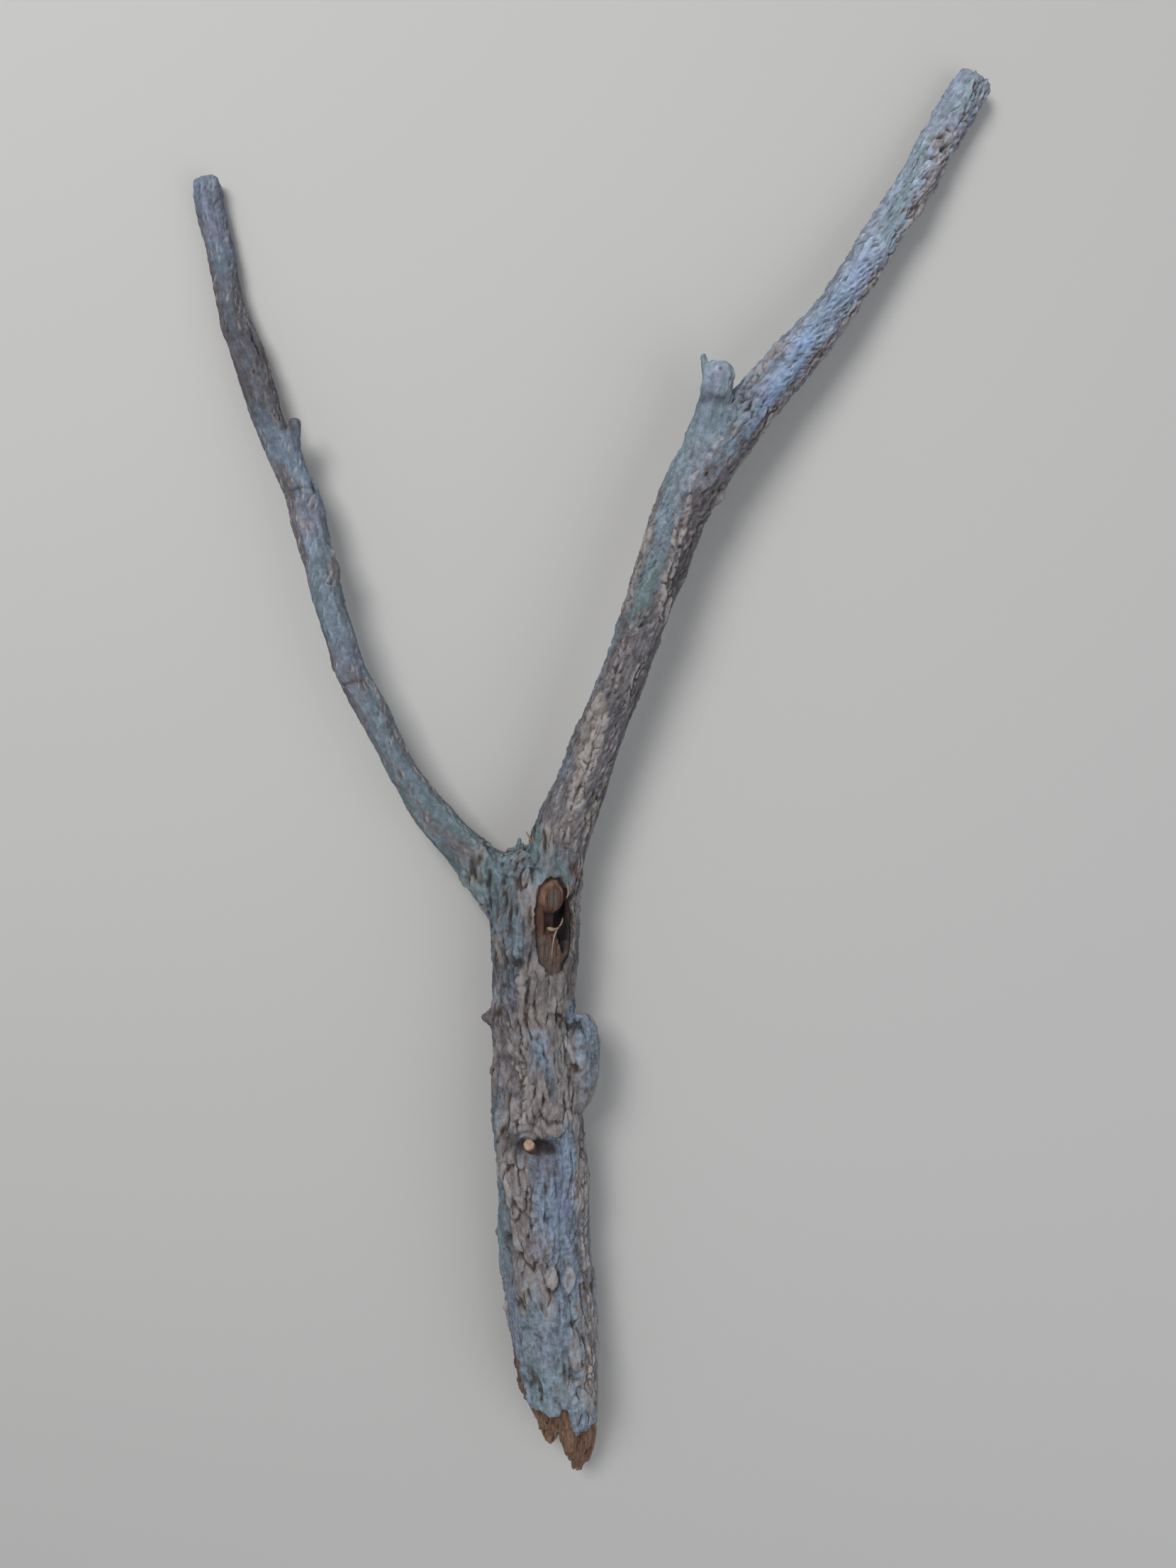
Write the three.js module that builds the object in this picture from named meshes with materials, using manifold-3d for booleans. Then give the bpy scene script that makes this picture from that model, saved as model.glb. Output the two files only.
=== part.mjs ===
// A forked, fallen tree branch lying on the ground: a thick main stem torn off at its foot, two limbs that
// leave it at one fork, and a snapped spur where the right limb bends. It is split at its forks, the way a
// branching piece is taken apart for handling, and grows as one piece of wood otherwise.
// Millimetres, +Z up, +Y from the torn foot towards the tips, lying on the plane z = 0.
import * as THREE from "three";
import { mergeVertices } from "three/addons/utils/BufferGeometryUtils.js";
import Module from "manifold-3d";

const wasm = await Module();
wasm.setup();

// Driving dimensions. A station is [x, y, z, radius] on a limb's centreline, from its root to its end.
const STEM = [
  [-10.5, -297, 20.0, 14.2],
  [-12.5, -285, 20.0, 17.6],
  [-15.5, -262, 19.7, 20.2],
  [-18, -232, 20.2, 20.8],
  [-21, -200, 20.2, 20.8],
  [-21.5, -170, 20.7, 21.3],
  [-23, -142, 21.2, 21.8],
  [-24.5, -115, 21.4, 19.6],
  [-25.5, -96, 21.8, 18.4],
  [-24.5, -66, 22.2, 19.4],
  [-25, -44, 22.8, 19.8],
  [-27, -28, 23.2, 17.6],
  [-29.5, -19, 23.4, 13.0],
  [-31, -13, 23.6, 6.0],
];
const LEFT_LIMB = [
  [-30, -45, 22, 13],
  [-43, -27, 22, 11],
  [-56.5, -12, 22.5, 8.6],
  [-70, 3, 23.5, 7.6],
  [-81, 19.5, 24.5, 6.5],
  [-89.5, 36, 25, 6.1],
  [-97, 52, 25, 6.8],
  [-105.5, 68, 25, 6.6],
  [-110.5, 84, 24.5, 6.8],
  [-115, 99, 23.5, 6.4],
  [-118.5, 115, 22, 7.0],
  [-123, 131, 20.5, 7.5],
  [-126.5, 146, 19, 7.5],
  [-131, 155, 18, 6.7],
  [-135, 166, 16.7, 7.2],
  [-141, 178, 15.2, 6.4],
  [-146, 193, 13.2, 6.8],
  [-151, 209, 11, 7.0],
  [-157, 224, 8.8, 5.9],
  [-160.5, 239, 7.2, 5.7],
  [-163, 255, 6.2, 6.0],
  [-166.5, 270, 5.8, 6.3],
  [-168, 284, 5.7, 6.4],
];
const RIGHT_LIMB = [
  [-20, -44, 23, 12],
  [-16.5, -28, 23.5, 12.6],
  [-13.5, -12, 24, 12.6],
  [-8.5, 3, 25, 12.2],
  [-1.5, 20, 26.5, 10.8],
  [3.5, 36, 28, 10.1],
  [10, 52, 29, 10.0],
  [16, 68, 29.5, 10.0],
  [22, 84, 29.5, 10.2],
  [27.5, 99, 29.5, 10.4],
  [33, 115, 29, 11.0],
  [38, 130, 28, 11.6],
  [43.5, 145, 27, 11.9],
  [51, 159, 26, 12.6],
  [61, 171, 25, 12.0],
  [70, 181.5, 24, 10.3],
  [80, 192, 22.5, 9.6],
  [91.5, 206.5, 20.5, 9.5],
  [105, 222, 18.3, 8.6],
  [115.5, 237.5, 16.2, 8.2],
  [125, 252.5, 14, 8.3],
  [135.5, 268, 12, 8.1],
  [145, 283, 10.2, 8.4],
  [153, 298.5, 8.6, 8.0],
  [162, 313.5, 7.3, 7.8],
  [168.5, 325, 7.1, 7.6],
];
const SPUR = [
  [47, 160, 26, 8],
  [51, 171, 28, 8],
  [54.5, 181, 29.5, 6.8],
  [55.5, 188.5, 30.8, 6.2],
  [56.5, 195, 31.8, 6.6],
  [57, 200.5, 32.4, 4.6],
];
const SPUR_HORN = [
  [54.5, 190, 32, 2.8],
  [51, 197, 33.4, 1.9],
  [49.2, 203.5, 34, 1.4],
];
const BURIED_KNOB = [
  [-9, -139, 27, 3.5],
  [-4.5, -127, 28, 6.6],
  [-2.6, -112, 28.5, 8.0],
  [-2.4, -99, 28.5, 7.4],
  [-3.6, -90, 28.5, 5.0],
];
const LEFT_STUB = [
  [-131.5, 160, 18.5, 4.2],
  [-130.2, 168, 20, 3.5],
  [-128.8, 178.5, 22, 2.8],
];
const SNAPPED_TWIG = [
  [-26, -143, 34, 2.9],
  [-26.4, -144.4, 41, 2.5],
  [-26.7, -145.4, 46.5, 2.3],
];
// The torn foot: spikes of bare wood that stand out of the bark, the longest first.
const SPLINTERS = [
  [
    [-9, -280, 19, 12.5],
    [-5, -299, 17, 9.6],
    [-4.6, -314, 14.5, 7.6],
    [-4.8, -324, 12.5, 4.2],
    [-5, -328, 12, 1.5],
  ],
  [
    [-18, -278, 19, 12],
    [-20, -293, 18, 7.6],
    [-19, -303, 17, 5.2],
    [-17.2, -311, 16.5, 1.4],
  ],
  [
    [-11, -278, 26, 12],
    [-10, -293, 27, 8],
    [-9, -303, 27, 4.5],
    [-8.4, -308, 27, 1.4],
  ],
  [
    [-14, -278, 13, 11],
    [-13, -292, 12, 8],
    [-11, -304, 9, 5],
    [-10, -315, 7, 1.5],
  ],
];
// A seam is a place on a centreline, counted in stations, where a fork's limb is parted.
const LEFT_SEAM = 2.6;
const RIGHT_SEAM = 3.5;
const UPPER_SEAM = 15.3;
const SPUR_SEAM = 3.4;
const SEAM_GAP = 0.35;

const THORN = { at: [-42.5, -91.5, 24], radius: 6.5, length: 13, flatten: 0.7 };
const KNOT_HOLLOW = { at: [-11.5, -44, 40], radii: [7, 21, 5.5], turn: 0.55 };

const UP = new THREE.Vector3(0, 0, 1);
const STEEP = 0.8;
const RINGS_PER_MM = 0.145;
const LUMP = 0.035;
const CAP_BEVEL = 0.88;

// The lumps of grown wood, as a share of the radius. They fade out underneath, where the branch lies.
function lumps(along, angle, underside) {
  const wave =
    Math.sin(2 * angle + along / 31) +
    0.8 * Math.sin(3 * angle - along / 17 + 1) +
    0.6 * Math.sin(5 * angle + along / 9 + 2);
  return 1 + LUMP * wave * (1 - underside);
}

function radiusAt(stations, place) {
  const i = Math.min(Math.floor(place), stations.length - 2);
  return THREE.MathUtils.lerp(stations[i][3], stations[i + 1][3], place - i);
}

function centreline(stations) {
  return new THREE.CatmullRomCurve3(stations.map(([x, y, z]) => new THREE.Vector3(x, y, z)));
}

// Keeps only the places and merges them, so that each corner is one shared vertex.
function merged(geometry) {
  geometry.deleteAttribute("normal");
  geometry.deleteAttribute("uv");
  return mergeVertices(geometry, 1e-4);
}

// A straight bar on the Y axis from 0 to 1, with the stations' radii in evenly spaced rings.
function straightBar(stations, length, sides) {
  const rings = Math.max(4, Math.round(length * RINGS_PER_MM));
  const profile = [new THREE.Vector2(0, 0)];
  for (let i = 0; i <= rings; i++) {
    const bevel = i === 0 || i === rings ? CAP_BEVEL : 1;
    const radius = radiusAt(stations, ((stations.length - 1) * i) / rings);
    profile.push(new THREE.Vector2(bevel * radius, i / rings));
  }
  profile.push(new THREE.Vector2(0, 1));
  return merged(new THREE.LatheGeometry(profile, sides));
}

// Two directions across a limb: sideways and, as far as its slope allows, upwards.
function acrossLimb(tangent) {
  const steep = Math.abs(tangent.z) > STEEP;
  const side = steep ? new THREE.Vector3(1, 0, 0) : new THREE.Vector3().crossVectors(tangent, UP);
  side.addScaledVector(tangent, -side.dot(tangent)).normalize();
  return [side, new THREE.Vector3().crossVectors(side, tangent)];
}

// A bar of the stations' radii, bent along their centreline.
function limbGeometry(stations, sides, lumpy = true) {
  const curve = centreline(stations);
  const length = curve.getLength();
  const bar = straightBar(stations, length, sides);
  const vertices = bar.getAttribute("position");
  for (let i = 0; i < vertices.count; i++) {
    const share = THREE.MathUtils.clamp(vertices.getY(i), 0, 1);
    const [x, z] = [vertices.getX(i), vertices.getZ(i)];
    const [side, over] = acrossLimb(curve.getTangent(share));
    const angle = Math.atan2(z, x);
    const underside = Math.max(0, -Math.sin(angle));
    const swell = lumpy ? lumps(share * length, angle, underside) : 1;
    const point = curve.getPoint(share).addScaledVector(side, x * swell).addScaledVector(over, z * swell);
    vertices.setXYZ(i, point.x, point.y, point.z);
  }
  return bar;
}

function solid(geometry) {
  const shell = merged(geometry);
  const vertProperties = new Float32Array(shell.attributes.position.array);
  const triVerts = new Uint32Array(shell.index.array);
  return new wasm.Manifold(new wasm.Mesh({ numProp: 3, vertProperties, triVerts }));
}

const limb = (stations, sides, lumpy) => solid(limbGeometry(stations, sides, lumpy));

// Parts a limb at a seam: the length before it, and the length after it past the seam's gap.
function partAt(whole, stations, seam) {
  const curve = centreline(stations);
  const share = seam / (stations.length - 1);
  const point = curve.getPoint(share);
  const tangent = curve.getTangent(share);
  const normal = [tangent.x, tangent.y, tangent.z];
  const offset = point.dot(tangent);
  const near = whole.trimByPlane([-tangent.x, -tangent.y, -tangent.z], -offset);
  const far = whole.trimByPlane(normal, offset + SEAM_GAP);
  return [near, far];
}

const joined = (pieces) => pieces.reduce((sum, piece) => sum.add(piece));
const onTheGround = (piece) => piece.trimByPlane([0, 0, 1], 0);

function thorn() {
  const cone = new THREE.ConeGeometry(THORN.radius, THORN.length, 8, 2);
  cone.scale(1, 1, THORN.flatten);
  cone.rotateZ(Math.PI / 2);
  cone.translate(...THORN.at);
  return solid(cone);
}

function knotHollow() {
  const hollow = new THREE.SphereGeometry(1, 16, 12);
  hollow.scale(...KNOT_HOLLOW.radii);
  hollow.rotateY(KNOT_HOLLOW.turn);
  hollow.translate(...KNOT_HOLLOW.at);
  return solid(hollow);
}

// Closes the sliver triangles that the joins leave, so that each face has a real size.
const tidy = (piece) => piece.simplify(0.05);

function buildStem(leftRoot, rightRoot) {
  const spikes = SPLINTERS.map((stations) => limb(stations, 10, false));
  const stem = limb(STEM, 26);
  const knob = limb(BURIED_KNOB, 12);
  const twig = limb(SNAPPED_TWIG, 10, false);
  return joined([stem, leftRoot, rightRoot, knob, twig, thorn(), ...spikes]).subtract(knotHollow());
}

function meshOf(name, piece, material) {
  const data = tidy(onTheGround(piece)).getMesh();
  const geometry = new THREE.BufferGeometry();
  geometry.setAttribute("position", new THREE.BufferAttribute(new Float32Array(data.vertProperties), 3));
  geometry.setIndex(new THREE.BufferAttribute(new Uint32Array(data.triVerts), 1));
  geometry.computeVertexNormals();
  const mesh = new THREE.Mesh(geometry, material);
  mesh.name = name;
  return mesh;
}

const bark = new THREE.MeshStandardMaterial({ color: 0x8c837c, roughness: 0.92, metalness: 0 });
const lichenBark = new THREE.MeshStandardMaterial({ color: 0x8a9896, roughness: 0.94, metalness: 0 });

const [leftRoot, leftLimb] = partAt(limb(LEFT_LIMB, 15), LEFT_LIMB, LEFT_SEAM);
const [rightRoot, rightRest] = partAt(limb(RIGHT_LIMB, 18), RIGHT_LIMB, RIGHT_SEAM);
const [rightLimb, upperLimb] = partAt(rightRest, RIGHT_LIMB, UPPER_SEAM);
const [spurRoot, spurEnd] = partAt(joined([limb(SPUR, 14), limb(SPUR_HORN, 8)]), SPUR, SPUR_SEAM);

const branch = new THREE.Group();
branch.add(meshOf("main_stem", buildStem(leftRoot, rightRoot), bark));
branch.add(meshOf("left_limb", joined([leftLimb, limb(LEFT_STUB, 8, false)]), lichenBark));
branch.add(meshOf("right_limb", joined([rightLimb, spurRoot]), bark));
branch.add(meshOf("right_limb_upper", upperLimb, bark));
branch.add(meshOf("broken_spur", spurEnd, lichenBark));

// The origin is the middle of the footprint, on the ground.
const footprint = new THREE.Box3().setFromObject(branch, true);
const middle = footprint.getCenter(new THREE.Vector3());
branch.position.set(-middle.x, -middle.y, -footprint.min.z);

export default branch;
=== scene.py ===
import contextlib
import math

import bpy
import numpy as np
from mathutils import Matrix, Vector
from mathutils.bvhtree import BVHTree
from mathutils.kdtree import KDTree


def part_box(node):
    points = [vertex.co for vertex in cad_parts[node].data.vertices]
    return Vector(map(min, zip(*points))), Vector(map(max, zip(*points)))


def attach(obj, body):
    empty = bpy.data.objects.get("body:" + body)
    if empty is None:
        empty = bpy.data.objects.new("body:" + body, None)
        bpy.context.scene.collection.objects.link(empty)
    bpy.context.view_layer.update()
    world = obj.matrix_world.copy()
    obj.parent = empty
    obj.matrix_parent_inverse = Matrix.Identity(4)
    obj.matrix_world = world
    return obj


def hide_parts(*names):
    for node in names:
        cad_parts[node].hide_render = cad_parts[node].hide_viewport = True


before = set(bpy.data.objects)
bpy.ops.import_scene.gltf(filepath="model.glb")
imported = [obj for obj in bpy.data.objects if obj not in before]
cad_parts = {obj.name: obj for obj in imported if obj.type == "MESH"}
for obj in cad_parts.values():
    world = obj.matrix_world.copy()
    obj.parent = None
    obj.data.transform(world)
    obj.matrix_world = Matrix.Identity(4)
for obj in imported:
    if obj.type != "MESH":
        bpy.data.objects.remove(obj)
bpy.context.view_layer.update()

# The looks of a forked, fallen branch that lies on the ground. Blender's objects are in metres. The bark is
# worked out in millimetres, because its plates and cracks are a few millimetres across.
MM = 0.001
TURN = 2 * math.pi

# ---- Small helpers for working on one object at a time


def only(*pieces):
    bpy.ops.object.select_all(action="DESELECT")
    for piece in pieces:
        piece.select_set(True)
    bpy.context.view_layer.objects.active = pieces[0]


@contextlib.contextmanager
def editing(*pieces, select="SELECT"):
    """Opens pieces for the mesh tools, with all of them selected unless `select` says otherwise."""
    only(*pieces)
    bpy.ops.object.mode_set(mode="EDIT")
    if select:
        bpy.ops.mesh.select_all(action=select)
    yield
    bpy.ops.object.mode_set(mode="OBJECT")


def apply_modifier(piece, kind, **settings):
    only(piece)
    modifier = piece.modifiers.new(kind.title(), kind)
    for name, value in settings.items():
        setattr(modifier, name, value)
    bpy.ops.object.modifier_apply(modifier=modifier.name)


def cad_copy(node, name):
    """A merged copy of a CAD node, for a piece that takes its place."""
    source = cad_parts[node]
    piece = bpy.data.objects.new(name, source.data.copy())
    bpy.context.collection.objects.link(piece)
    piece.data.materials.clear()
    with editing(piece):
        bpy.ops.mesh.remove_doubles(threshold=1e-6)
    return piece


def cut_off(piece, point, normal):
    """Cuts away what lies in front of a plane, and closes the cut."""
    with editing(piece):
        bpy.ops.mesh.bisect(plane_co=point, plane_no=normal, use_fill=True, clear_outer=True)


def values_of(items, name, width=1, kind=np.float32):
    """One named value of each of a mesh's items, as an array."""
    values = np.empty(len(items) * width, kind)
    items.foreach_get(name, values)
    return values.reshape(-1, width) if width > 1 else values


def corners_mm(piece):
    return values_of(piece.data.vertices, "co", 3).astype(float) / MM


def outward(piece):
    return values_of(piece.data.vertex_normals, "vector", 3).astype(float)


def set_corners_mm(piece, places):
    piece.data.vertices.foreach_set("co", (places * MM).astype(np.float32).ravel())
    piece.data.update()


def keep_values(piece, **fields):
    """Stores numbers, one or three for each corner or one for all, where the materials can read them."""
    for name, values in fields.items():
        if np.ndim(values) == 0:
            values = np.full(len(piece.data.vertices), values)
        wide = values.ndim == 2
        attribute = piece.data.attributes.new(name, "FLOAT_VECTOR" if wide else "FLOAT", "POINT")
        attribute.data.foreach_set("vector" if wide else "value", values.astype(np.float32).ravel())


# ---- Noise, worked out for many points at once


def blend(low, high, value):
    """A soft step: 0 at low, 1 at high. Low may be the larger of the two."""
    share = np.clip((value - low) / (high - low), 0, 1)
    return share * share * (3 - 2 * share)


def scramble(i, j, k, seed):
    """A repeatable whole number of 32 bits for a lattice corner."""
    mixed = (i * 73856093) ^ (j * 19349663) ^ (k * 83492791) ^ (seed * 40503 + 977)
    mixed = ((mixed ^ (mixed >> 15)) & 0xFFFFFFFF) * 2246822519 & 0xFFFFFFFF
    mixed = ((mixed ^ (mixed >> 13)) & 0xFFFFFFFF) * 3266489917 & 0xFFFFFFFF
    return mixed ^ (mixed >> 16)


def chance(i, j, k, seed):
    return (scramble(i, j, k, seed) & 0xFFFF) / 65535.0


def noise(points, size, seed):
    """Smooth noise from about -1 to 1, whose swells are `size` millimetres across."""
    scaled = points / size + 0.37 * seed
    cell = np.floor(scaled).astype(np.int64)
    inside = scaled - cell
    ease = inside * inside * inside * (inside * (inside * 6 - 15) + 10)
    total = np.zeros(len(points))
    for dx in (0, 1):
        for dy in (0, 1):
            for dz in (0, 1):
                bits = scramble(cell[:, 0] + dx, cell[:, 1] + dy, cell[:, 2] + dz, seed)
                slope_x = (bits & 1023) / 511.5 - 1
                slope_y = ((bits >> 10) & 1023) / 511.5 - 1
                slope_z = ((bits >> 20) & 1023) / 511.5 - 1
                lift = slope_x * (inside[:, 0] - dx) + slope_y * (inside[:, 1] - dy)
                lift = lift + slope_z * (inside[:, 2] - dz)
                share_x = ease[:, 0] if dx else 1 - ease[:, 0]
                share_y = ease[:, 1] if dy else 1 - ease[:, 1]
                share_z = ease[:, 2] if dz else 1 - ease[:, 2]
                total += lift * share_x * share_y * share_z
    return total * 1.5


def plates(around, along, rows, width, length, seed):
    """Splits a surface into plates that lie in rows.

    around counts rows round the limb, and along is in millimetres. It gives the distance to a plate's edge,
    two numbers of the plate's own, and whether the edge runs along the limb rather than across it.
    """
    row = np.floor(around).astype(np.int64)
    nearest = np.full(len(around), 1e9)
    second = np.full(len(around), 1e9)
    tone = np.zeros(len(around))
    rise = np.zeros(len(around))
    own_row = np.zeros(len(around), np.int64)
    next_row = np.zeros(len(around), np.int64)
    for side in (-1, 0, 1):
        lane = (row + side) % rows
        run = along / length - chance(lane, 0, 5, seed)
        place = np.floor(run).astype(np.int64)
        for step in (-1, 0, 1):
            spot = place + step
            across = row + side + 0.5 + 0.6 * (chance(lane, spot, 1, seed) - 0.5)
            down = spot + 0.5 + 0.8 * (chance(lane, spot, 2, seed) - 0.5)
            reach = np.hypot((around - across) * width, (run - down) * length * 0.45)
            closer = reach < nearest
            runner_up = ~closer & (reach < second)
            second = np.where(closer, nearest, np.minimum(second, reach))
            next_row = np.where(closer, own_row, np.where(runner_up, row + side, next_row))
            own_row = np.where(closer, row + side, own_row)
            tone = np.where(closer, chance(lane, spot, 3, seed), tone)
            rise = np.where(closer, chance(lane, spot, 4, seed), rise)
            nearest = np.where(closer, reach, nearest)
    return (second - nearest) / 2, tone, rise, own_row != next_row


def flecks(around, along, rows, width, length, lean, density, seed):
    """Short slanting ridges strewn over a surface: how high each place is on one, and how far in its shade.

    around, along and rows are as for the plates. lean is in radians, and density is the share of spots used.
    """
    row = np.floor(around).astype(np.int64)
    place = np.floor(along / length).astype(np.int64)
    ridge = np.zeros(len(around))
    shade = np.zeros(len(around))
    for side in (-1, 0, 1):
        lane = (row + side) % rows
        for step in (-1, 0, 1):
            spot = place + step
            across = row + side + 0.5 + 0.8 * (chance(lane, spot, 1, seed) - 0.5)
            down = spot + 0.5 + 0.8 * (chance(lane, spot, 2, seed) - 0.5)
            x = (around - across) * width
            y = along - down * length
            slant = lean + 0.6 * (chance(lane, spot, 3, seed) - 0.5)
            u = x * np.cos(slant) - y * np.sin(slant)
            v = x * np.sin(slant) + y * np.cos(slant)
            half_width = 0.36 + 0.34 * chance(lane, spot, 4, seed)
            half_length = length * (0.22 + 0.3 * chance(lane, spot, 5, seed))
            present = blend(0.0, 0.12, density - chance(lane, spot, 6, seed))
            ends = np.exp(-((v / half_length) ** 4))
            ridge = np.maximum(ridge, present * ends * np.exp(-((u / half_width) ** 2)))
            dip = np.exp(-(((u - 2.0 * half_width) / (0.9 * half_width)) ** 2))
            shade = np.maximum(shade, present * ends * dip)
    return ridge, shade


# ---- The limbs' routes, taken from the CAD solids
# The distance between two slices of a solid, and between two points of a route, in mm.
SLICE_STEP = 7.0
ROUTE_STEP = 1.0


def slices(node, start, stop):
    """The middle and the outline of a CAD node where it crosses evenly spaced values of Y."""
    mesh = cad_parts[node].data
    corners = np.array([v.co for v in mesh.vertices]) / MM
    faces = np.array([p.vertices[:] for p in mesh.polygons])
    begin = corners[faces]
    end = np.roll(begin, -1, axis=1)
    found = []
    for y in np.linspace(start, stop, max(2, round((stop - start) / SLICE_STEP))):
        crosses = (begin[..., 1] - y) * (end[..., 1] - y) < 0
        whole = crosses.sum(axis=1) == 2
        share = (y - begin[..., 1]) / np.where(crosses, end[..., 1] - begin[..., 1], 1)
        points = (begin + share[..., None] * (end - begin))[whole][crosses[whole]].reshape(-1, 2, 3)
        lengths = np.linalg.norm(points[:, 1] - points[:, 0], axis=1)
        middle = (points.mean(axis=1) * lengths[:, None]).sum(axis=0) / lengths.sum()
        found.append((middle, points.reshape(-1, 3)))
    return found


class Limb:
    """A limb's route and thickness. It says where a point of the surface is along and round the limb."""

    def __init__(self, name, found, root=None, window=9, onward=0):
        middles = [middle for middle, outline in found]
        if root is not None:
            middles.insert(0, np.array(root, float))
        middles = np.array(middles)
        far = np.concatenate([[0], np.linalg.norm(np.diff(middles, axis=0), axis=1).cumsum()])
        run = np.arange(0, far[-1], ROUTE_STEP)
        route = np.stack([np.interp(run, far, middles[:, axis]) for axis in range(3)], axis=1)
        before = 2 * route[0] - route[window:0:-1]
        after = 2 * route[-1] - route[-2 : -window - 2 : -1]
        padded = np.concatenate([before, route, after])
        kernel = np.hanning(2 * window + 1)
        kernel /= kernel.sum()
        self.name = name
        self.onward = onward
        self.route = np.stack([np.convolve(padded[:, axis], kernel, "valid") for axis in range(3)], axis=1)
        tangent = np.gradient(self.route, axis=0)
        self.tangent = tangent / np.linalg.norm(tangent, axis=1)[:, None]
        side = np.cross(self.tangent, (0, 0, 1))
        self.side = side / np.linalg.norm(side, axis=1)[:, None]
        self.over = np.cross(self.side, self.tangent)
        steps = np.linalg.norm(np.diff(self.route, axis=0), axis=1)
        self.run = np.concatenate([[0], steps.cumsum()])
        spots, radii = [], []
        for middle, outline in found:
            nearest = np.argmin(((self.route - middle) ** 2).sum(axis=1))
            offset = outline - self.route[nearest]
            offset = offset - (offset @ self.tangent[nearest])[:, None] * self.tangent[nearest]
            spots.append(self.run[nearest])
            radii.append(np.linalg.norm(offset, axis=1).mean())
        self.radius = np.interp(self.run, spots, radii)

    def locate(self, points):
        """How far along the limb each point is, its two offsets across, its reach, and the radius there."""
        nearest = np.empty(len(points), int)
        squares = (self.route**2).sum(axis=1)
        for begin in range(0, len(points), 60000):
            part = points[begin : begin + 60000]
            nearest[begin : begin + 60000] = np.argmin(squares - 2 * part @ self.route.T, axis=1)
        offset = points - self.route[nearest]
        ahead = (offset * self.tangent[nearest]).sum(axis=1)
        along = self.run[nearest] + ahead
        spare = offset - ahead[:, None] * self.tangent[nearest]
        aside = (spare * self.side[nearest]).sum(axis=1)
        above = (spare * self.over[nearest]).sum(axis=1)
        last = len(self.run) - 1
        beyond = ((nearest == 0) & (ahead < 0)) | ((nearest == last) & (ahead > 0))
        past = np.where(beyond, np.maximum(np.abs(ahead) - self.onward, 0), 0)
        reach = np.sqrt(aside**2 + above**2 + past**2)
        return along, aside, above, reach, self.radius[nearest]

    def at(self, along):
        """The point on the route, and the way it runs there."""
        index = int(np.clip(np.searchsorted(self.run, along), 0, len(self.run) - 1))
        return self.route[index], self.tangent[index]


def box_mm(node):
    low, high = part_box(node)
    return np.array(low) / MM, np.array(high) / MM


def make_limbs():
    """Stem, left limb, right limb with the limb above its fork, and spur."""
    stem_low = box_mm("main_stem")[0]
    left_low, left_high = box_mm("left_limb")
    right_low = box_mm("right_limb")[0]
    upper_low, upper_high = box_mm("right_limb_upper")
    spur_low = box_mm("broken_spur")[0]
    stem = Limb("stem", slices("main_stem", stem_low[1] + 44, stem_low[1] + 268), window=30, onward=44)
    fork, onwards = stem.at(stem.run[-1])
    fork = fork + 20 * onwards
    left = Limb("left", slices("left_limb", left_low[1] + 14, left_high[1] - 4), fork)
    lower_part = slices("right_limb", right_low[1] + 8, right_low[1] + 128)
    upper_part = slices("right_limb_upper", upper_low[1] + 14, upper_high[1] - 6)
    right = Limb("right", lower_part + upper_part, fork + (5, 0, 0))
    second_fork = lower_part[-1][0]
    spur = Limb("spur", slices("broken_spur", spur_low[1] + 2.5, spur_low[1] + 7), second_fork)
    return stem, left, right, spur


stem, left, right, spur = make_limbs()


# ---- The bark
# How the bark of each limb looks: a seed, then the plates' width and length, how far they stand up, how deep
# the cracks are, how much of the limb is corky, how strongly it is furrowed, how rough it is everywhere, how
# many small flecks of cork it carries, how patchy its film is, and how lively its finest colours are.
STYLE = ("seed", "width", "length", "plate", "crack", "corky", "furrow", "rough", "flecks", "patchy", "fine")
BARK = {
    "stem": (3, 5.2, 13.0, 1.05, 1.0, 0.12, 0.95, 0.22, 0.3, 1.0, 1.0),
    "left": (21, 2.6, 6.5, 0.22, 0.2, -0.85, 0.2, 0.06, 0.36, 0.85, 0.45),
    "right": (47, 3.4, 8.0, 0.85, 0.8, -0.22, 0.7, 0.18, 0.7, 0.9, 1.0),
    "spur": (70, 2.6, 4.5, 0.5, 0.35, -0.45, 0.5, 0.1, 0.2, 0.3, 0.55),
}

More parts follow.
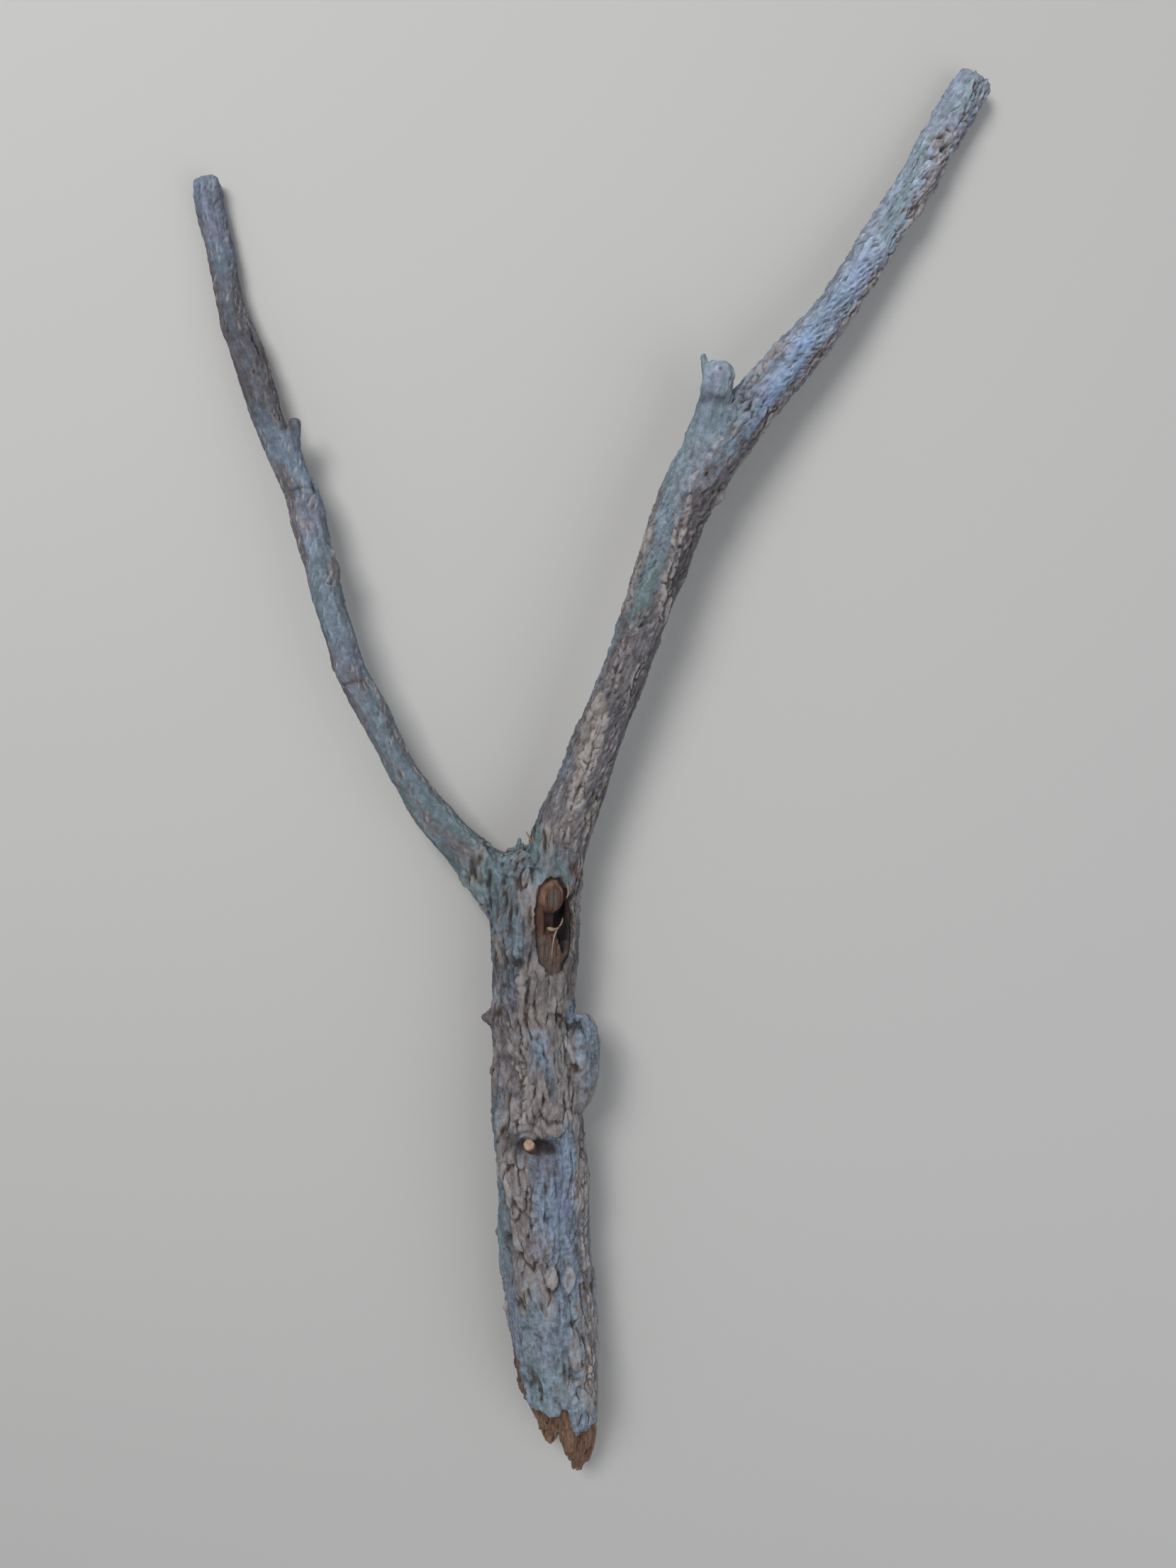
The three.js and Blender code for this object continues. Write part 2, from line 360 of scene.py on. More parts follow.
# Strips seen from above. Each follows a limb between two values of Y, at a share of the way from its middle
# to its right edge (-1 is its left edge). A positive amount is corky plates, a negative one smooth bark.
# Each is its half width in mm, its amount, then points of (Y, share).
STRIPS = {
    "stem": [
        (5.5, -1.2, [(-150, 0.62), (-177, 0.42), (-205, 0.62), (-222, 0.50)]),
        (9.5, -1.3, [(-238, -0.30), (-262, -0.34), (-290, -0.30)]),
        (4.0, -1.0, [(-170, -0.86), (-215, -0.80), (-236, -0.78)]),
        (5.0, 0.8, [(-222, 0.78), (-250, 0.66), (-292, 0.62)]),
        (5.5, 0.8, [(-158, -0.62), (-190, -0.45)]),
        (6.5, 0.5, [(-195, 0.02), (-240, 0.10)]),
        (9.0, 0.8, [(-64, 0.10), (-95, 0.20), (-135, 0.15)]),
        (3.0, -1.0, [(-101, -0.05), (-122, 0.30)]),
        (6.5, -0.9, [(-52, -0.35), (-66, -0.50), (-80, -0.62)]),
        (14.0, -0.4, [(-5, -0.45), (-44, -0.55)]),
    ],
    "right": [
        (4.6, -1.6, [(176, -0.80), (150, -0.78), (139, -0.59), (125, -0.37), (110, -0.27), (100, -0.44)]),
        (4.0, -0.8, [(150, 0.60), (120, 0.80), (90, 0.30), (60, 0.25)]),
        (5.0, 0.5, [(52, -0.48), (36, -0.10), (12, -0.10), (-12, -0.30)]),
        (4.5, 0.7, [(172, -0.30), (188, -0.60), (204, -0.66)]),
        (4.5, -1.0, [(188, 0.20), (207, 0.08), (223, 0.01), (243, -0.04), (256, 0.10)]),
        (4.0, 0.5, [(310, 0.15), (334, 0.0)]),
        (3.4, 0.4, [(290, 0.15), (302, 0.10)]),
    ],
}

# Rows of paired cork beads with a crack between the two: limb, half width in mm, then points of (Y, share).
# Their order counts, because each row's beads are drawn by its number.
BEAD_ROWS = [
    (
        "right", 3.2,
        [(168, -0.52), (152, -0.52), (143, -0.26), (136, 0.01), (121, 0.23), (107, 0.36), (92, 0.70)],
    ),
    ("right", 2.9, [(94, -0.18), (85, -0.34), (70, -0.35), (61, -0.27)]),
    ("right", 3.3, [(47, 0.06), (38, -0.13), (30, -0.05), (22, -0.06)]),
    ("right", 2.5, [(75, 0.60), (65, 0.49), (56, 0.66)]),
    ("right", 2.7, [(19, -0.10), (10, -0.14), (1, -0.19), (-7, -0.08)]),
    ("right", 3.0, [(129, -0.98), (118, -0.95), (105, -0.92), (96, -0.88)]),
    ("right", 3.0, [(174, -0.27), (187, -0.62), (196, -0.60), (205, -0.68)]),
    ("right", 2.0, [(181, 0.96), (214, 0.91), (241, 0.84), (266, 0.90)]),
    ("right", 2.4, [(332, -0.05), (318, 0.25), (304, 0.42)]),
    ("right", 1.5, [(252, 0.55), (262, 0.42), (276, 0.62)]),
    ("stem", 3.4, [(-148, 0.97), (-170, 0.93), (-190, 0.93), (-212, 0.92)]),
    ("stem", 2.8, [(-228, 0.93), (-250, 0.88), (-275, 0.80)]),
    ("stem", 3.0, [(-110, -0.45), (-128, -0.40), (-137, -0.30)]),
]

# Single marks: kind, Y, share, half length and half width in mm, lean in turns, height or depth in mm,
# and corkiness. A knob of negative height is a shallow hollow.
MARKS = {
    "stem": [
        ("plate", -193, 0.03, 11.5, 6.0, 0.0, 0.9, 0.45),
        ("plate", -212, 0.18, 6.5, 3.2, 0.0, 1.1, 1.0),
        ("plate", -215, 0.56, 7.0, 3.4, 0.02, 1.2, 0.7),
        ("pit", -213, 0.36, 6.5, 0.9, 0.0, 1.5, 0.0),
        ("knob", -195, -0.96, 2.2, 1.8, 0.0, 2.0, 0.8),
        ("pit", -194, -0.72, 3.4, 2.2, 0.0, 2.2, 0.0),
        ("knob", -232, -0.96, 2.0, 1.6, 0.0, 1.6, 0.8),
        ("knob", -216, 0.97, 4.0, 2.2, 0.0, 1.6, 0.6),
        ("pit", -223, 0.88, 2.6, 2.0, 0.0, 2.2, 0.0),
        ("pit", -219, -0.35, 5.0, 1.0, 0.02, 1.4, 0.0),
        ("pit", -226, -0.10, 4.0, 0.8, -0.03, 1.0, 0.0),
        ("plate", -250, 0.50, 13.0, 3.6, 0.0, 1.2, 0.8),
        ("pit", -259, 0.24, 8.5, 0.9, 0.01, 1.4, 0.0),
        ("plate", -267, 0.56, 1.9, 3.0, 0.02, 1.2, 1.0),
        ("plate", -168, -0.50, 5.5, 2.1, 0.01, 0.8, 1.0),
        ("plate", -179, -0.19, 1.6, 2.4, 0.0, 0.9, 0.8),
        ("plate", -139, 0.42, 4.2, 3.0, 0.08, 1.0, 1.0),
        ("plate", -120, -0.62, 4.5, 3.6, 0.0, 0.7, 0.2),
        ("arch", -145, -0.22, 12.0, 12.0, 0.0, 0.7, 0.3),
        ("pit", -146, -0.14, 3.9, 13.0, 0.0, 3.3, 0.0),
        ("pit", -148, 0.20, 4.4, 7.0, 0.0, 3.0, 0.0),
        ("thorn", -89, -0.97, 8.5, 6.0, 0.0, 3.8, 0.0),
        ("plate", -152, -0.60, 3.6, 3.0, 0.0, 0.8, 0.9),
        ("pit", -26, -0.43, 2.4, 4.5, 0.03, 1.5, 0.0),
        ("pit", -36, -0.32, 3.8, 2.6, 0.0, 1.3, 0.0),
        ("pit", -50, -0.65, 6.5, 0.9, -0.1, 1.3, 0.0),
        ("plate", -69, -0.27, 2.2, 3.6, -0.03, 1.0, 1.0),
        ("pit", -78, -0.15, 9.0, 0.9, 0.02, 1.6, 0.0),
        ("plate", -77, -0.60, 4.0, 6.2, 0.0, 0.5, 0.1),
        ("knob", -101, -0.68, 2.2, 2.2, 0.0, 1.1, 0.6),
        ("plate", -91, 0.93, 4.4, 1.8, 0.02, 1.2, 0.0),
        ("pit", -94, 0.84, 6.0, 1.4, -0.04, 2.2, 0.0),
        ("plate", -102, 0.74, 3.6, 1.7, 0.04, 1.0, 1.0),
        ("knob", -105, -0.11, 7.0, 1.8, 0.07, 1.0, 0.0),
    ],
    "right": [
        ("plate", -13, -0.60, 5.6, 4.4, 0.02, 1.1, 0.6),
        ("pit", -9, 0.12, 0.8, 6.0, 0.02, 1.3, 0.0),
        ("pit", -21, -0.42, 0.9, 4.6, -0.03, 1.5, 0.0),
        ("plate", 53, -0.48, 5.5, 3.4, 0.0, 0.9, 1.0),
        ("pit", 152, -0.05, 1.3, 1.1, 0.0, 2.0, 0.0),
        ("pit", 89, -0.02, 2.0, 1.0, 0.05, 1.6, 0.0),
        ("knob", 149, 0.93, 3.2, 2.6, 0.0, 2.2, 0.9),
        ("pit", 206, -0.90, 2.0, 1.6, 0.0, 2.0, 0.0),
        ("knob", 202, -0.80, 2.0, 1.6, 0.0, 1.2, 1.0),
        ("knob", 295, 0.10, 6.5, 4.5, 0.0, 1.3, 0.25),
        ("pit", 296, -0.10, 2.2, 1.5, 0.05, 2.4, 0.0),
        ("pit", 293, 0.32, 2.4, 1.4, 0.1, 2.4, 0.0),
        ("pit", 300, 0.12, 1.6, 1.1, -0.1, 2.0, 0.0),
        ("pit", 288, 0.10, 1.8, 1.0, 0.08, 1.8, 0.0),
        ("knob", 298, 0.22, 1.6, 1.3, 0.0, 1.4, 0.6),
        ("knob", 292, -0.08, 1.5, 1.2, 0.0, 1.3, 0.5),
        ("knob", 272, 0.86, 3.0, 1.6, 0.0, 1.2, 0.2),
        ("knob", 288, 0.90, 3.0, 1.6, 0.0, 1.3, 0.5),
    ],
    "left": [
        ("pit", 64, -0.10, 0.8, 9.0, 0.03, 0.6, 0.0),
        ("knob", 70, 0.90, 2.2, 2.2, 0.0, 1.0, 0.1),
        ("knob", 46, 0.80, 2.6, 2.2, 0.0, 1.0, 0.1),
        ("knob", 58, -0.10, 1.6, 1.3, 0.0, 0.5, 0.9),
        ("knob", 119, 0.95, 2.2, 2.2, 0.0, 2.0, 0.8),
        ("thorn", 112, 0.92, 6.5, 4.5, 0.0, 3.0, 0.0),
        ("pit", 106, 0.50, 0.7, 4.4, 0.03, 0.4, 0.0),
        ("knob", 151, -0.30, 1.8, 1.4, 0.0, 0.8, 1.0),
        ("knob", 152, 0.05, 1.4, 1.2, 0.0, 0.6, 1.0),
        ("pit", 148, -0.05, 0.8, 8.0, 0.03, 0.7, 0.0),
        ("pit", 147, 0.90, 3.4, 1.3, 0.0, 1.2, 0.0),
        ("ring", 133, -0.07, 2.4, 1.4, 0.0, 0.5, 0.9),
        ("ring", 198, 0.27, 1.7, 1.3, 0.0, 0.5, 0.9),
        ("ring", 189, -0.10, 1.4, 1.0, 0.0, 0.4, 0.9),
        ("pit", 210, 0.86, 6.0, 1.0, 0.01, 1.8, 0.0),
        ("knob", 213, 0.97, 5.0, 1.6, 0.0, 1.2, 0.3),
    ],
    "spur": [
        ("knob", 196, 0.0, 3.5, 9.0, 0.0, 0.9, 0.0),
        ("pit", 197, 0.15, 1.2, 1.0, 0.0, 0.9, 0.0),
        ("knob", 185, -0.1, 2.4, 11.0, 0.02, -0.9, 0.0),
    ],
}

# How each limb's tint changes along it: Y, then the film's cover, its greenness and the bark's lightness. A
# film of negative greenness is bluer.
TINTS = {
    "stem": [
        (-300, 0.34, 0.40, 1.24),
        (-215, 0.34, 0.24, 1.12),
        (-150, 0.20, 0.15, 0.92),
        (-95, 0.05, 0.20, 0.86),
        (-50, 0.00, 0.35, 0.82),
        (-20, 0.28, 0.72, 0.92),
        (20, 0.30, 0.75, 0.95),
    ],
    "left": [
        (-10, 0.40, 0.60, 0.95),
        (40, 0.38, 0.35, 0.97),
        (75, 0.58, 0.27, 1.02),
        (110, 0.50, 0.20, 0.95),
        (150, 0.45, 0.0, 0.98),
        (180, -0.10, 0.0, 0.70),
        (225, -0.10, 0.0, 0.68),
        (260, 0.45, 0.0, 0.92),
    ],
    "right": [
        (-10, -0.35, 0.30, 0.94),
        (60, -0.30, 0.40, 0.94),
        (110, -0.10, 0.60, 0.95),
        (165, 0.20, 0.35, 1.04),
        (200, 0.68, 0.12, 1.30),
        (235, 0.70, 0.12, 1.58),
        (300, 0.68, 0.22, 1.66),
    ],
    "spur": [
        (170, 1.20, 0.28, 1.44),
        (181, 1.15, 0.28, 1.32),
        # At Y 185 the bark is painted darker: painted shadow under the swollen end above it.
        (185, 1.00, 0.25, 0.76),
        (189, 1.20, 0.35, 1.34),
        (198, 1.35, 0.38, 1.50),
    ],
}

# Patches of film, or of bark without it: Y, share, half length and half width in mm, amount, greenness.
FILM_PATCHES = {
    "stem": [
        (-262, -0.28, 26, 13, 0.60, 0.55),
        (-240, 0.10, 14, 10, 0.35, 0.0),
        (-290, 0.62, 10, 8, 0.50, 0.0),
        (-215, -0.90, 30, 7, 0.50, 0.9),
        (-165, -0.95, 26, 6, 0.35, 0.9),
        (-178, 0.42, 26, 9, 0.90, -0.5),
        (-150, 0.62, 12, 6, 0.80, -0.5),
        (-125, -0.80, 20, 8, 0.30, 0.8),
        (-112, 0.98, 26, 14, 0.35, 0.10),
        (-100, -0.05, 12, 5, 0.60, 0.1),
        (-92, 0.90, 6, 3, 0.90, 0.0),
        (-58, -0.45, 16, 7, 0.40, 0.7),
        (-75, -0.95, 20, 5, 0.45, 0.8),
        (-12, -0.45, 18, 18, 0.20, 0.7),
        (-30, -0.95, 20, 8, 0.50, 0.9),
        (-70, 0.15, 14, 10, -0.50, 0.0),
        (-215, 0.15, 10, 5, -0.40, 0.0),
        (-150, -1.0, 60, 5, -0.40, 0.3),
    ],
    "right": [
        (176, -0.75, 14, 6, 1.6, 0.35),
        (158, -0.80, 12, 5, 1.2, 0.4),
        (139, -0.62, 12, 5, 1.2, 0.25),
        (122, -0.36, 12, 4.5, 1.2, 0.3),
        (106, -0.40, 9, 4.5, 1.0, 0.6),
        (80, -0.95, 20, 4, 0.6, 0.6),
        (24, -0.85, 14, 5, 0.6, 0.3),
        (130, 0.70, 28, 6, -0.6, 0.0),
        (60, 0.40, 22, 6, -0.4, 0.0),
        (188, 0.20, 15, 6, 0.8, -0.9),
        (207, 0.08, 12, 5, 0.8, -0.9),
        (226, 0.00, 12, 5, 0.6, -0.6),
        (243, -0.04, 12, 5, 0.7, -0.8),
        (205, 0.86, 16, 3.6, -0.9, 0.0),
        (236, 0.92, 14, 3.2, -0.8, 0.0),
        (276, 0.80, 13, 3.6, -0.7, 0.0),
        (285, -0.60, 34, 5, 0.7, 0.5),
        (318, -0.45, 14, 4, 0.7, 0.4),
    ],
    "left": [
        (40, 0.10, 20, 7, 0.25, 0.5),
        (95, 0.10, 18, 7, 0.30, 0.5),
        (158, 0.95, 9, 5, 0.90, 0.4),
        (120, -0.10, 14, 4, 0.40, 0.1),
        (76, 0.00, 16, 6, 0.30, 0.3),
        (172, -0.20, 12, 6, 0.40, 0.0),
        (262, 0.10, 20, 6, 0.35, 0.0),
        (75, -0.85, 30, 3.6, -0.6, 0.0),
        (128, -0.70, 16, 3.6, -0.7, 0.0),
        (152, -0.45, 9, 3.6, -0.6, 0.0),
        (108, 0.45, 6, 3.0, -0.4, 0.0),
        (66, 0.15, 5, 4.0, -0.4, 0.0),
    ],
}


def grain_space(aside, above, along, squeeze):
    """Places on a limb as if it were straight, squeezed along it so that noise there runs lengthwise."""
    return np.stack([aside, above, along * squeeze + 300], axis=1)


def beside(places, angle, radius, points):
    """How far each place is from a line of (Y, share) points: round the limb, and past the line's ends."""
    heights = np.array([y for y, share in points], float)
    shares = np.array([share for y, share in points], float)
    order = np.argsort(heights)
    heights, shares = heights[order], shares[order]
    middle = np.arccos(np.clip(np.interp(places[:, 1], heights, shares), -1, 1))
    past = np.maximum(heights[0] - places[:, 1], places[:, 1] - heights[-1])
    return (middle - angle) * radius, past


def strip_amount(limb, places, angle, radius):
    """How much the listed strips add to, or take from, the corkiness of each place."""
    amount = np.zeros(len(places))
    for half_width, strength, points in STRIPS.get(limb.name, []):
        away, past = beside(places, angle, radius, points)
        amount += strength * np.exp(-((away / half_width) ** 2) - np.maximum(past / 5, 0) ** 2)
    return amount


def bead_rows(limb, places, along, angle, radius, seed):
    """How high each place is on a bead of the rows, how far in a gap between them, and the bead's tone."""
    bead = np.zeros(len(places))
    gap = np.zeros(len(places))
    tone = np.zeros(len(places))
    wiggle = 1.1 * noise(places, 7, seed) + 0.6 * noise(places, 2.4, seed + 1)
    slide = 0.7 * noise(places, 9.0, seed + 2) + 0.25 * noise(places, 2.0, seed + 6)
    worn = blend(-0.5, 0.3, noise(places, 6, seed + 7))
    for index, (name, half_width, points) in enumerate(BEAD_ROWS):
        if name != limb.name:
            continue
        away, past = beside(places, angle, radius, points)
        away = away + wiggle
        lane = (away > 0).astype(np.int64)
        run = (along - 0.7 * np.abs(away)) / 4.6 + 0.45 * lane + slide
        cell = np.floor(run).astype(np.int64)
        width = half_width * (0.72 + 0.5 * chance(cell, lane, index, seed + 3))
        shift = 0.3 * (chance(cell, lane, index, seed + 4) - 0.5)
        joined_up = chance(cell, lane, index, seed + 8) < 0.3
        ends = (0.5 - np.abs(run - cell - 0.5 - shift)) * 4.6 + 0.8 * joined_up
        edge = np.minimum(np.minimum(np.abs(away) - 0.05, (width - np.abs(away)) * 0.8), ends * 0.9)
        inside = 1 - blend(0.0, 3.0, past)
        here = inside * (0.45 + 0.55 * worn) * blend(-0.15, 1.3, edge)
        beside_it = inside * worn * (1 - blend(half_width * 0.55, half_width * 0.95, np.abs(away)))
        tone = np.where(here > bead, chance(cell, lane, index, seed + 5), tone)
        bead = np.maximum(bead, here)
        gap = np.maximum(gap, beside_it * (1 - blend(-0.1, 0.5, edge)))
    return bead, gap, tone


def apply_marks(limb, fields, places, along, angle, radius, seed):
    """Adds the listed plates, pits, knobs, thorns, rings and arches to a limb's bark."""
    ragged_u = 0.7 * noise(places, 4.5, seed) + 0.35 * noise(places, 1.8, seed + 1)
    ragged_v = 0.7 * noise(places, 4.5, seed + 2) + 0.35 * noise(places, 1.8, seed + 3)
    broken = blend(-0.35, 0.35, noise(places, 3.6, seed + 4))
    touched = ("height", "crack", "cork", "film")
    for kind, y, share, half_length, half_width, lean, height, cork in MARKS[limb.name]:
        start = np.interp(y, limb.route[:, 1], limb.run)
        turn = (math.acos(share) - angle + math.pi) % TURN - math.pi
        reach = 2.2 * max(half_length, half_width) + 3
        near = (np.abs(along - start) < reach) & (np.abs(turn * radius) < reach)
        across = (turn * radius + ragged_u)[near]
        down = (along - start + ragged_v)[near]
        lean = lean * TURN
        u = across * math.cos(lean) - down * math.sin(lean)
        v = across * math.sin(lean) + down * math.cos(lean)
        far = np.hypot(u / half_width, v / half_length)
        least = min(half_width, half_length)
        relief, cracks_and_shade, corked, filmed = (fields[field][near] for field in touched)
        if kind == "plate":
            inside = 1 - blend(1.0 - 0.9 / least, 1.0, far)
            ring = broken[near] * np.exp(-(((far - 1.0) * least / 0.7 - 0.5) ** 2))
            relief = relief + inside * (height - 0.4 * relief) - 0.8 * ring
            cracks_and_shade = np.maximum(cracks_and_shade * (1 - 0.6 * inside), 0.7 * ring)
            corked = corked + inside * (cork - corked)
            filmed = filmed * (1 - 0.6 * cork * inside)
        elif kind == "pit":
            dip = np.exp(-1.3 * far**2)
            relief = relief - height * dip
            # A pit is painted darker as well as sunk: painted shade, through the crack mask and the
            # lightness.
            cracks_and_shade = np.maximum(cracks_and_shade, min(0.7, 0.25 + 0.4 * height) * blend(0.2, 0.8, dip))
            filmed = filmed * (1 - 0.3 * dip)
            fields["light"][near] *= 1 - min(0.5, 0.17 * height) * dip
        elif kind == "knob":
            bump = np.exp(-1.1 * far**2)
            relief = relief + height * bump
            cracks_and_shade = cracks_and_shade * (1 - 0.7 * bump)
            filmed = filmed * (1 - 0.7 * bump * min(1, 4 * cork))
            corked = corked + bump * (cork - corked)
        elif kind == "thorn":
            point = np.clip(1 - far, 0, 1)
            relief = relief + height * point
            filmed = filmed * (1 - blend(0.0, 0.4, point))
            corked = corked + blend(0.0, 0.4, point) * (cork - corked)
            cracks_and_shade = np.maximum(cracks_and_shade, 0.45 * blend(0.0, 0.5, point))
        elif kind == "ring":
            ring = np.exp(-(((far - 0.8) * least / 0.45) ** 2))
            dip = np.exp(-3 * far**2)
            relief = relief + height * ring - 0.5 * dip
            corked = np.maximum(corked, cork * ring)
            filmed = filmed * (1 - 0.7 * ring)
            cracks_and_shade = np.maximum(cracks_and_shade, 0.5 * dip)
        else:
            ripple = np.cos(far * half_width / 3.8 * TURN)
            window = blend(-0.5, 3.0, v) * (1 - blend(0.75, 1.1, far)) * blend(0.25, 0.4, far)
            relief = relief + height * ripple * window
            cracks_and_shade = np.maximum(cracks_and_shade, 0.5 * window * blend(0.2, 1.0, -ripple))
            corked = corked + window * blend(0.0, 1.0, ripple) * (cork - corked)
        for field, values in zip(touched, (relief, cracks_and_shade, corked, filmed)):
            fields[field][near] = values


def bark(limb, places, along, aside, above, radius):
    """The relief of one limb's bark, in mm, and the masks that its colours follow."""
    style = dict(zip(STYLE, BARK[limb.name]))
    seed = style["seed"]
    angle = np.arctan2(above, aside)
    girth = TURN * limb.radius.mean()
    rows = max(5, round(girth / style["width"]))
    bend = 1.9 * noise(places, 21, seed) + 1.1 * noise(places, 7.5, seed + 1)
    bend = bend + 0.55 * noise(places, 2.6, seed + 2)
    around = angle / TURN * rows + (bend + 0.28 * noise(places, 1.3, seed + 3)) / style["width"]
    run = along + 3.2 * noise(places, 12, seed + 4) + 1.2 * noise(places, 3.4, seed + 5)
    edge, tone, rise, lengthwise = plates(around, run, rows, style["width"], style["length"], seed)
    rows_fine = round(rows * 2.1)
    around_fine = around * rows_fine / rows
    scale = style["width"] / 2.1
    small_plates = plates(around_fine, run, rows_fine, scale, style["length"] * 0.5, seed + 6)
    fine_edge, fine_tone, fine_rise, fine_long = small_plates

    def drawn_out(squeeze, size, extra):
        """Noise whose swells run lengthwise: the smaller the squeeze, the longer they are."""
        return noise(grain_space(aside, above, along, squeeze), size, seed + extra)

    lengthy = grain_space(aside, above, along, 0.22)
    patch = noise(lengthy, 9, seed + 7)
    small = noise(places, 5.5, seed + 8)
    corkiness = style["corky"] + 0.85 * patch + 0.3 * small
    corkiness += strip_amount(limb, places, angle, radius)
    cork = blend(-0.15, 0.35, corkiness)

    # The cracks come and go: they are strong along the limb and weak across it, and some places have none.
    split = blend(-0.45, 0.5, noise(places, 8, seed + 9)) * np.where(lengthwise, 1.0, 0.55)
    split_fine = blend(-0.1, 0.6, noise(places, 5, seed + 10)) * np.where(fine_long, 1.0, 0.5)
    groove = split * (1 - blend(0.0, 0.35 + 0.5 * blend(-0.6, 0.6, small), edge))
    groove_fine = split_fine * (1 - blend(0.0, 0.42, fine_edge))
    dome = 1 - split * (1 - blend(-0.1, 1.2, edge))
    wrinkles = drawn_out(0.17, 3.3, 11)
    fibres = drawn_out(0.22, 1.5, 12)
    lumps = noise(places, 2.3, seed + 13)
    grains = noise(places, 1.15, seed + 14)
    twisted = lengthy + np.stack([0.6 * bend, 0 * bend, 0 * bend], axis=1)
    swell = drawn_out(0.38, 5.6, 19)
    deep = np.exp(-((noise(twisted, 6.2, seed + 20) / 0.075) ** 2))
    deep = deep * blend(-0.35, 0.4, noise(places, 11, seed + 21))
    slight = np.exp(-((noise(twisted, 2.7, seed + 22) / 0.1) ** 2))
    slight = slight * blend(-0.3, 0.4, noise(places, 7, seed + 23))
    layer = 2.3 * (wrinkles + 0.7 * small + 0.25 * lumps)
    steps = np.floor(layer) + blend(0.55, 1.0, layer - np.floor(layer))
    plate_height = style["plate"] * (0.25 + 0.6 * rise) * dome + 0.3 * style["plate"] * fine_rise
    corky = plate_height - style["crack"] * (groove + 0.45 * groove_fine) + 0.20 * lumps + 0.12 * fibres

    # Past the second fork the limb's bark is calmer, and its film is paler and less cracked.
    upper = blend(190, 220, places[:, 1]) * (limb is right)
    calm = 1 - 0.45 * upper
    plain = calm * (0.32 * wrinkles + 0.17 * fibres + 0.14 * lumps)
    height = plain + cork * (corky - plain) + 0.16 * steps + 0.12 * grains
    height += style["furrow"] * calm * (0.75 * swell - 0.95 * deep - 0.42 * slight)
    height += 0.55 * noise(places, 23, seed + 15) + 0.35 * noise(places, 9, seed + 16)

    # Round the crotch the stem's bark is shaggy.
    if limb is stem:
        shag = blend(-62, -36, places[:, 1])
        threads = drawn_out(0.16, 2.1, 25)
        tufts = 1 - 2.0 * np.abs(drawn_out(0.3, 3.4, 26))
        shreds = drawn_out(0.2, 1.1, 27)
        height += shag * (0.95 * threads + 0.6 * tufts * blend(-0.3, 0.5, patch) + 0.4 * shreds)
    rough = drawn_out(0.4, 2.0, 24)
    height += style["rough"] * calm * rough

    density = style["flecks"] * (0.75 + 0.9 * patch) * (1 - 0.5 * cork)
    ridge, shade = flecks(around_fine, along + 0.6 * small, rows_fine, scale, 5.0, -0.38, density, seed + 17)
    fleck_cork = {"stem": 0.85, "left": 0.8}.get(limb.name, 0.62)
    height += (0.28 if limb is left else 0.5 + 0.2 * upper) * (ridge - 0.6 * shade)
    # The shaded side of each fleck is painted dark through the crack mask: painted shadow.
    crack = cork * (groove + 0.45 * groove_fine) * (1 - 0.4 * upper) + 0.55 * shade * (1 - ridge)
    if limb is stem:
        crack = np.maximum(crack, 0.8 * shag * blend(0.1, -0.55, threads + 0.3 * shreds))
    crack = np.clip(crack + style["furrow"] * (0.75 * deep + 0.3 * slight), 0, 1)
    cork = np.maximum(cork * blend(-0.6, 0.3, corkiness), fleck_cork * ridge)

    # The film of lichen: where it lies, how green it is, and how light it makes the bark.
    tints = np.array(TINTS[limb.name])
    cover, green, light = (np.interp(places[:, 1], tints[:, 0], tints[:, column]) for column in (1, 2, 3))
    film = cover + style["patchy"] * (0.75 * noise(lengthy, 12, seed + 18) + 0.35 * small + 0.2 * lumps)
    for y, share, half_length, half_width, amount, hue in FILM_PATCHES.get(limb.name, []):
        turn = (math.acos(share) - angle + math.pi) % TURN - math.pi
        far = (turn * radius / half_width) ** 2 + ((places[:, 1] - y) / half_length) ** 2
        spot = np.exp(-far)
        film = film + 1.3 * amount * spot
        green = green + min(abs(amount), 1) * spot * (hue - green)
        light = light + 0.26 * min(max(amount, -0.5), 0.7) * spot
    green = np.clip(green + (0.4 + 0.25 * upper) * noise(lengthy, 8, seed + 28), -1, 1)
    film = film - 0.30 * cork - 0.5 * crack - (0.35 + 0.15 * upper) * ridge
    film = blend(-0.45, 0.85, film)
    lit = (1 - (0.75 - 0.35 * upper) * cork) * (0.35 + 0.65 * film)
    light = np.minimum(light, 1) + np.maximum(light - 1, 0) * lit
    # Past the second fork the flecks are painted darker on their shaded sides and lighter on their ridges:
    # painted shadow, and pale flecks with painted highlight.
    light = light * (1 - 0.3 * upper * shade) + 0.28 * upper * ridge
    if limb is left:
        light = light + 0.25 * ridge
    fields = dict(height=height, crack=crack, cork=cork, film=film, tone=0.6 * tone + 0.4 * fine_tone)
    fields.update(green=green, light=light, grain=np.stack([aside, above, along], axis=1))

    # The rows of beads and the single marks go on top, and show through the film.
    bead, gap, bead_tone = bead_rows(limb, places, along, angle, radius, seed + 30)
    fields["height"] += bead * (1.15 - 0.5 * np.maximum(height, 0)) - 0.55 * gap
    fields["crack"] = np.maximum(fields["crack"] * (1 - bead), 0.75 * gap)
    fields["cork"] = np.maximum(fields["cork"], bead)
    fields["tone"] = np.where(bead > 0.3, 0.45 + 0.55 * bead_tone, fields["tone"])
    bare_bead = 0.75 - 0.5 * blend(165, 180, places[:, 1]) * (limb is right)
    fields["film"] *= 1 - bare_bead * np.maximum(bead, 0.6 * gap)
    fields["light"] *= 1 - 0.22 * bead * blend(165, 185, places[:, 1]) * (limb is right)
    apply_marks(limb, fields, places, along, angle, radius, seed + 40)
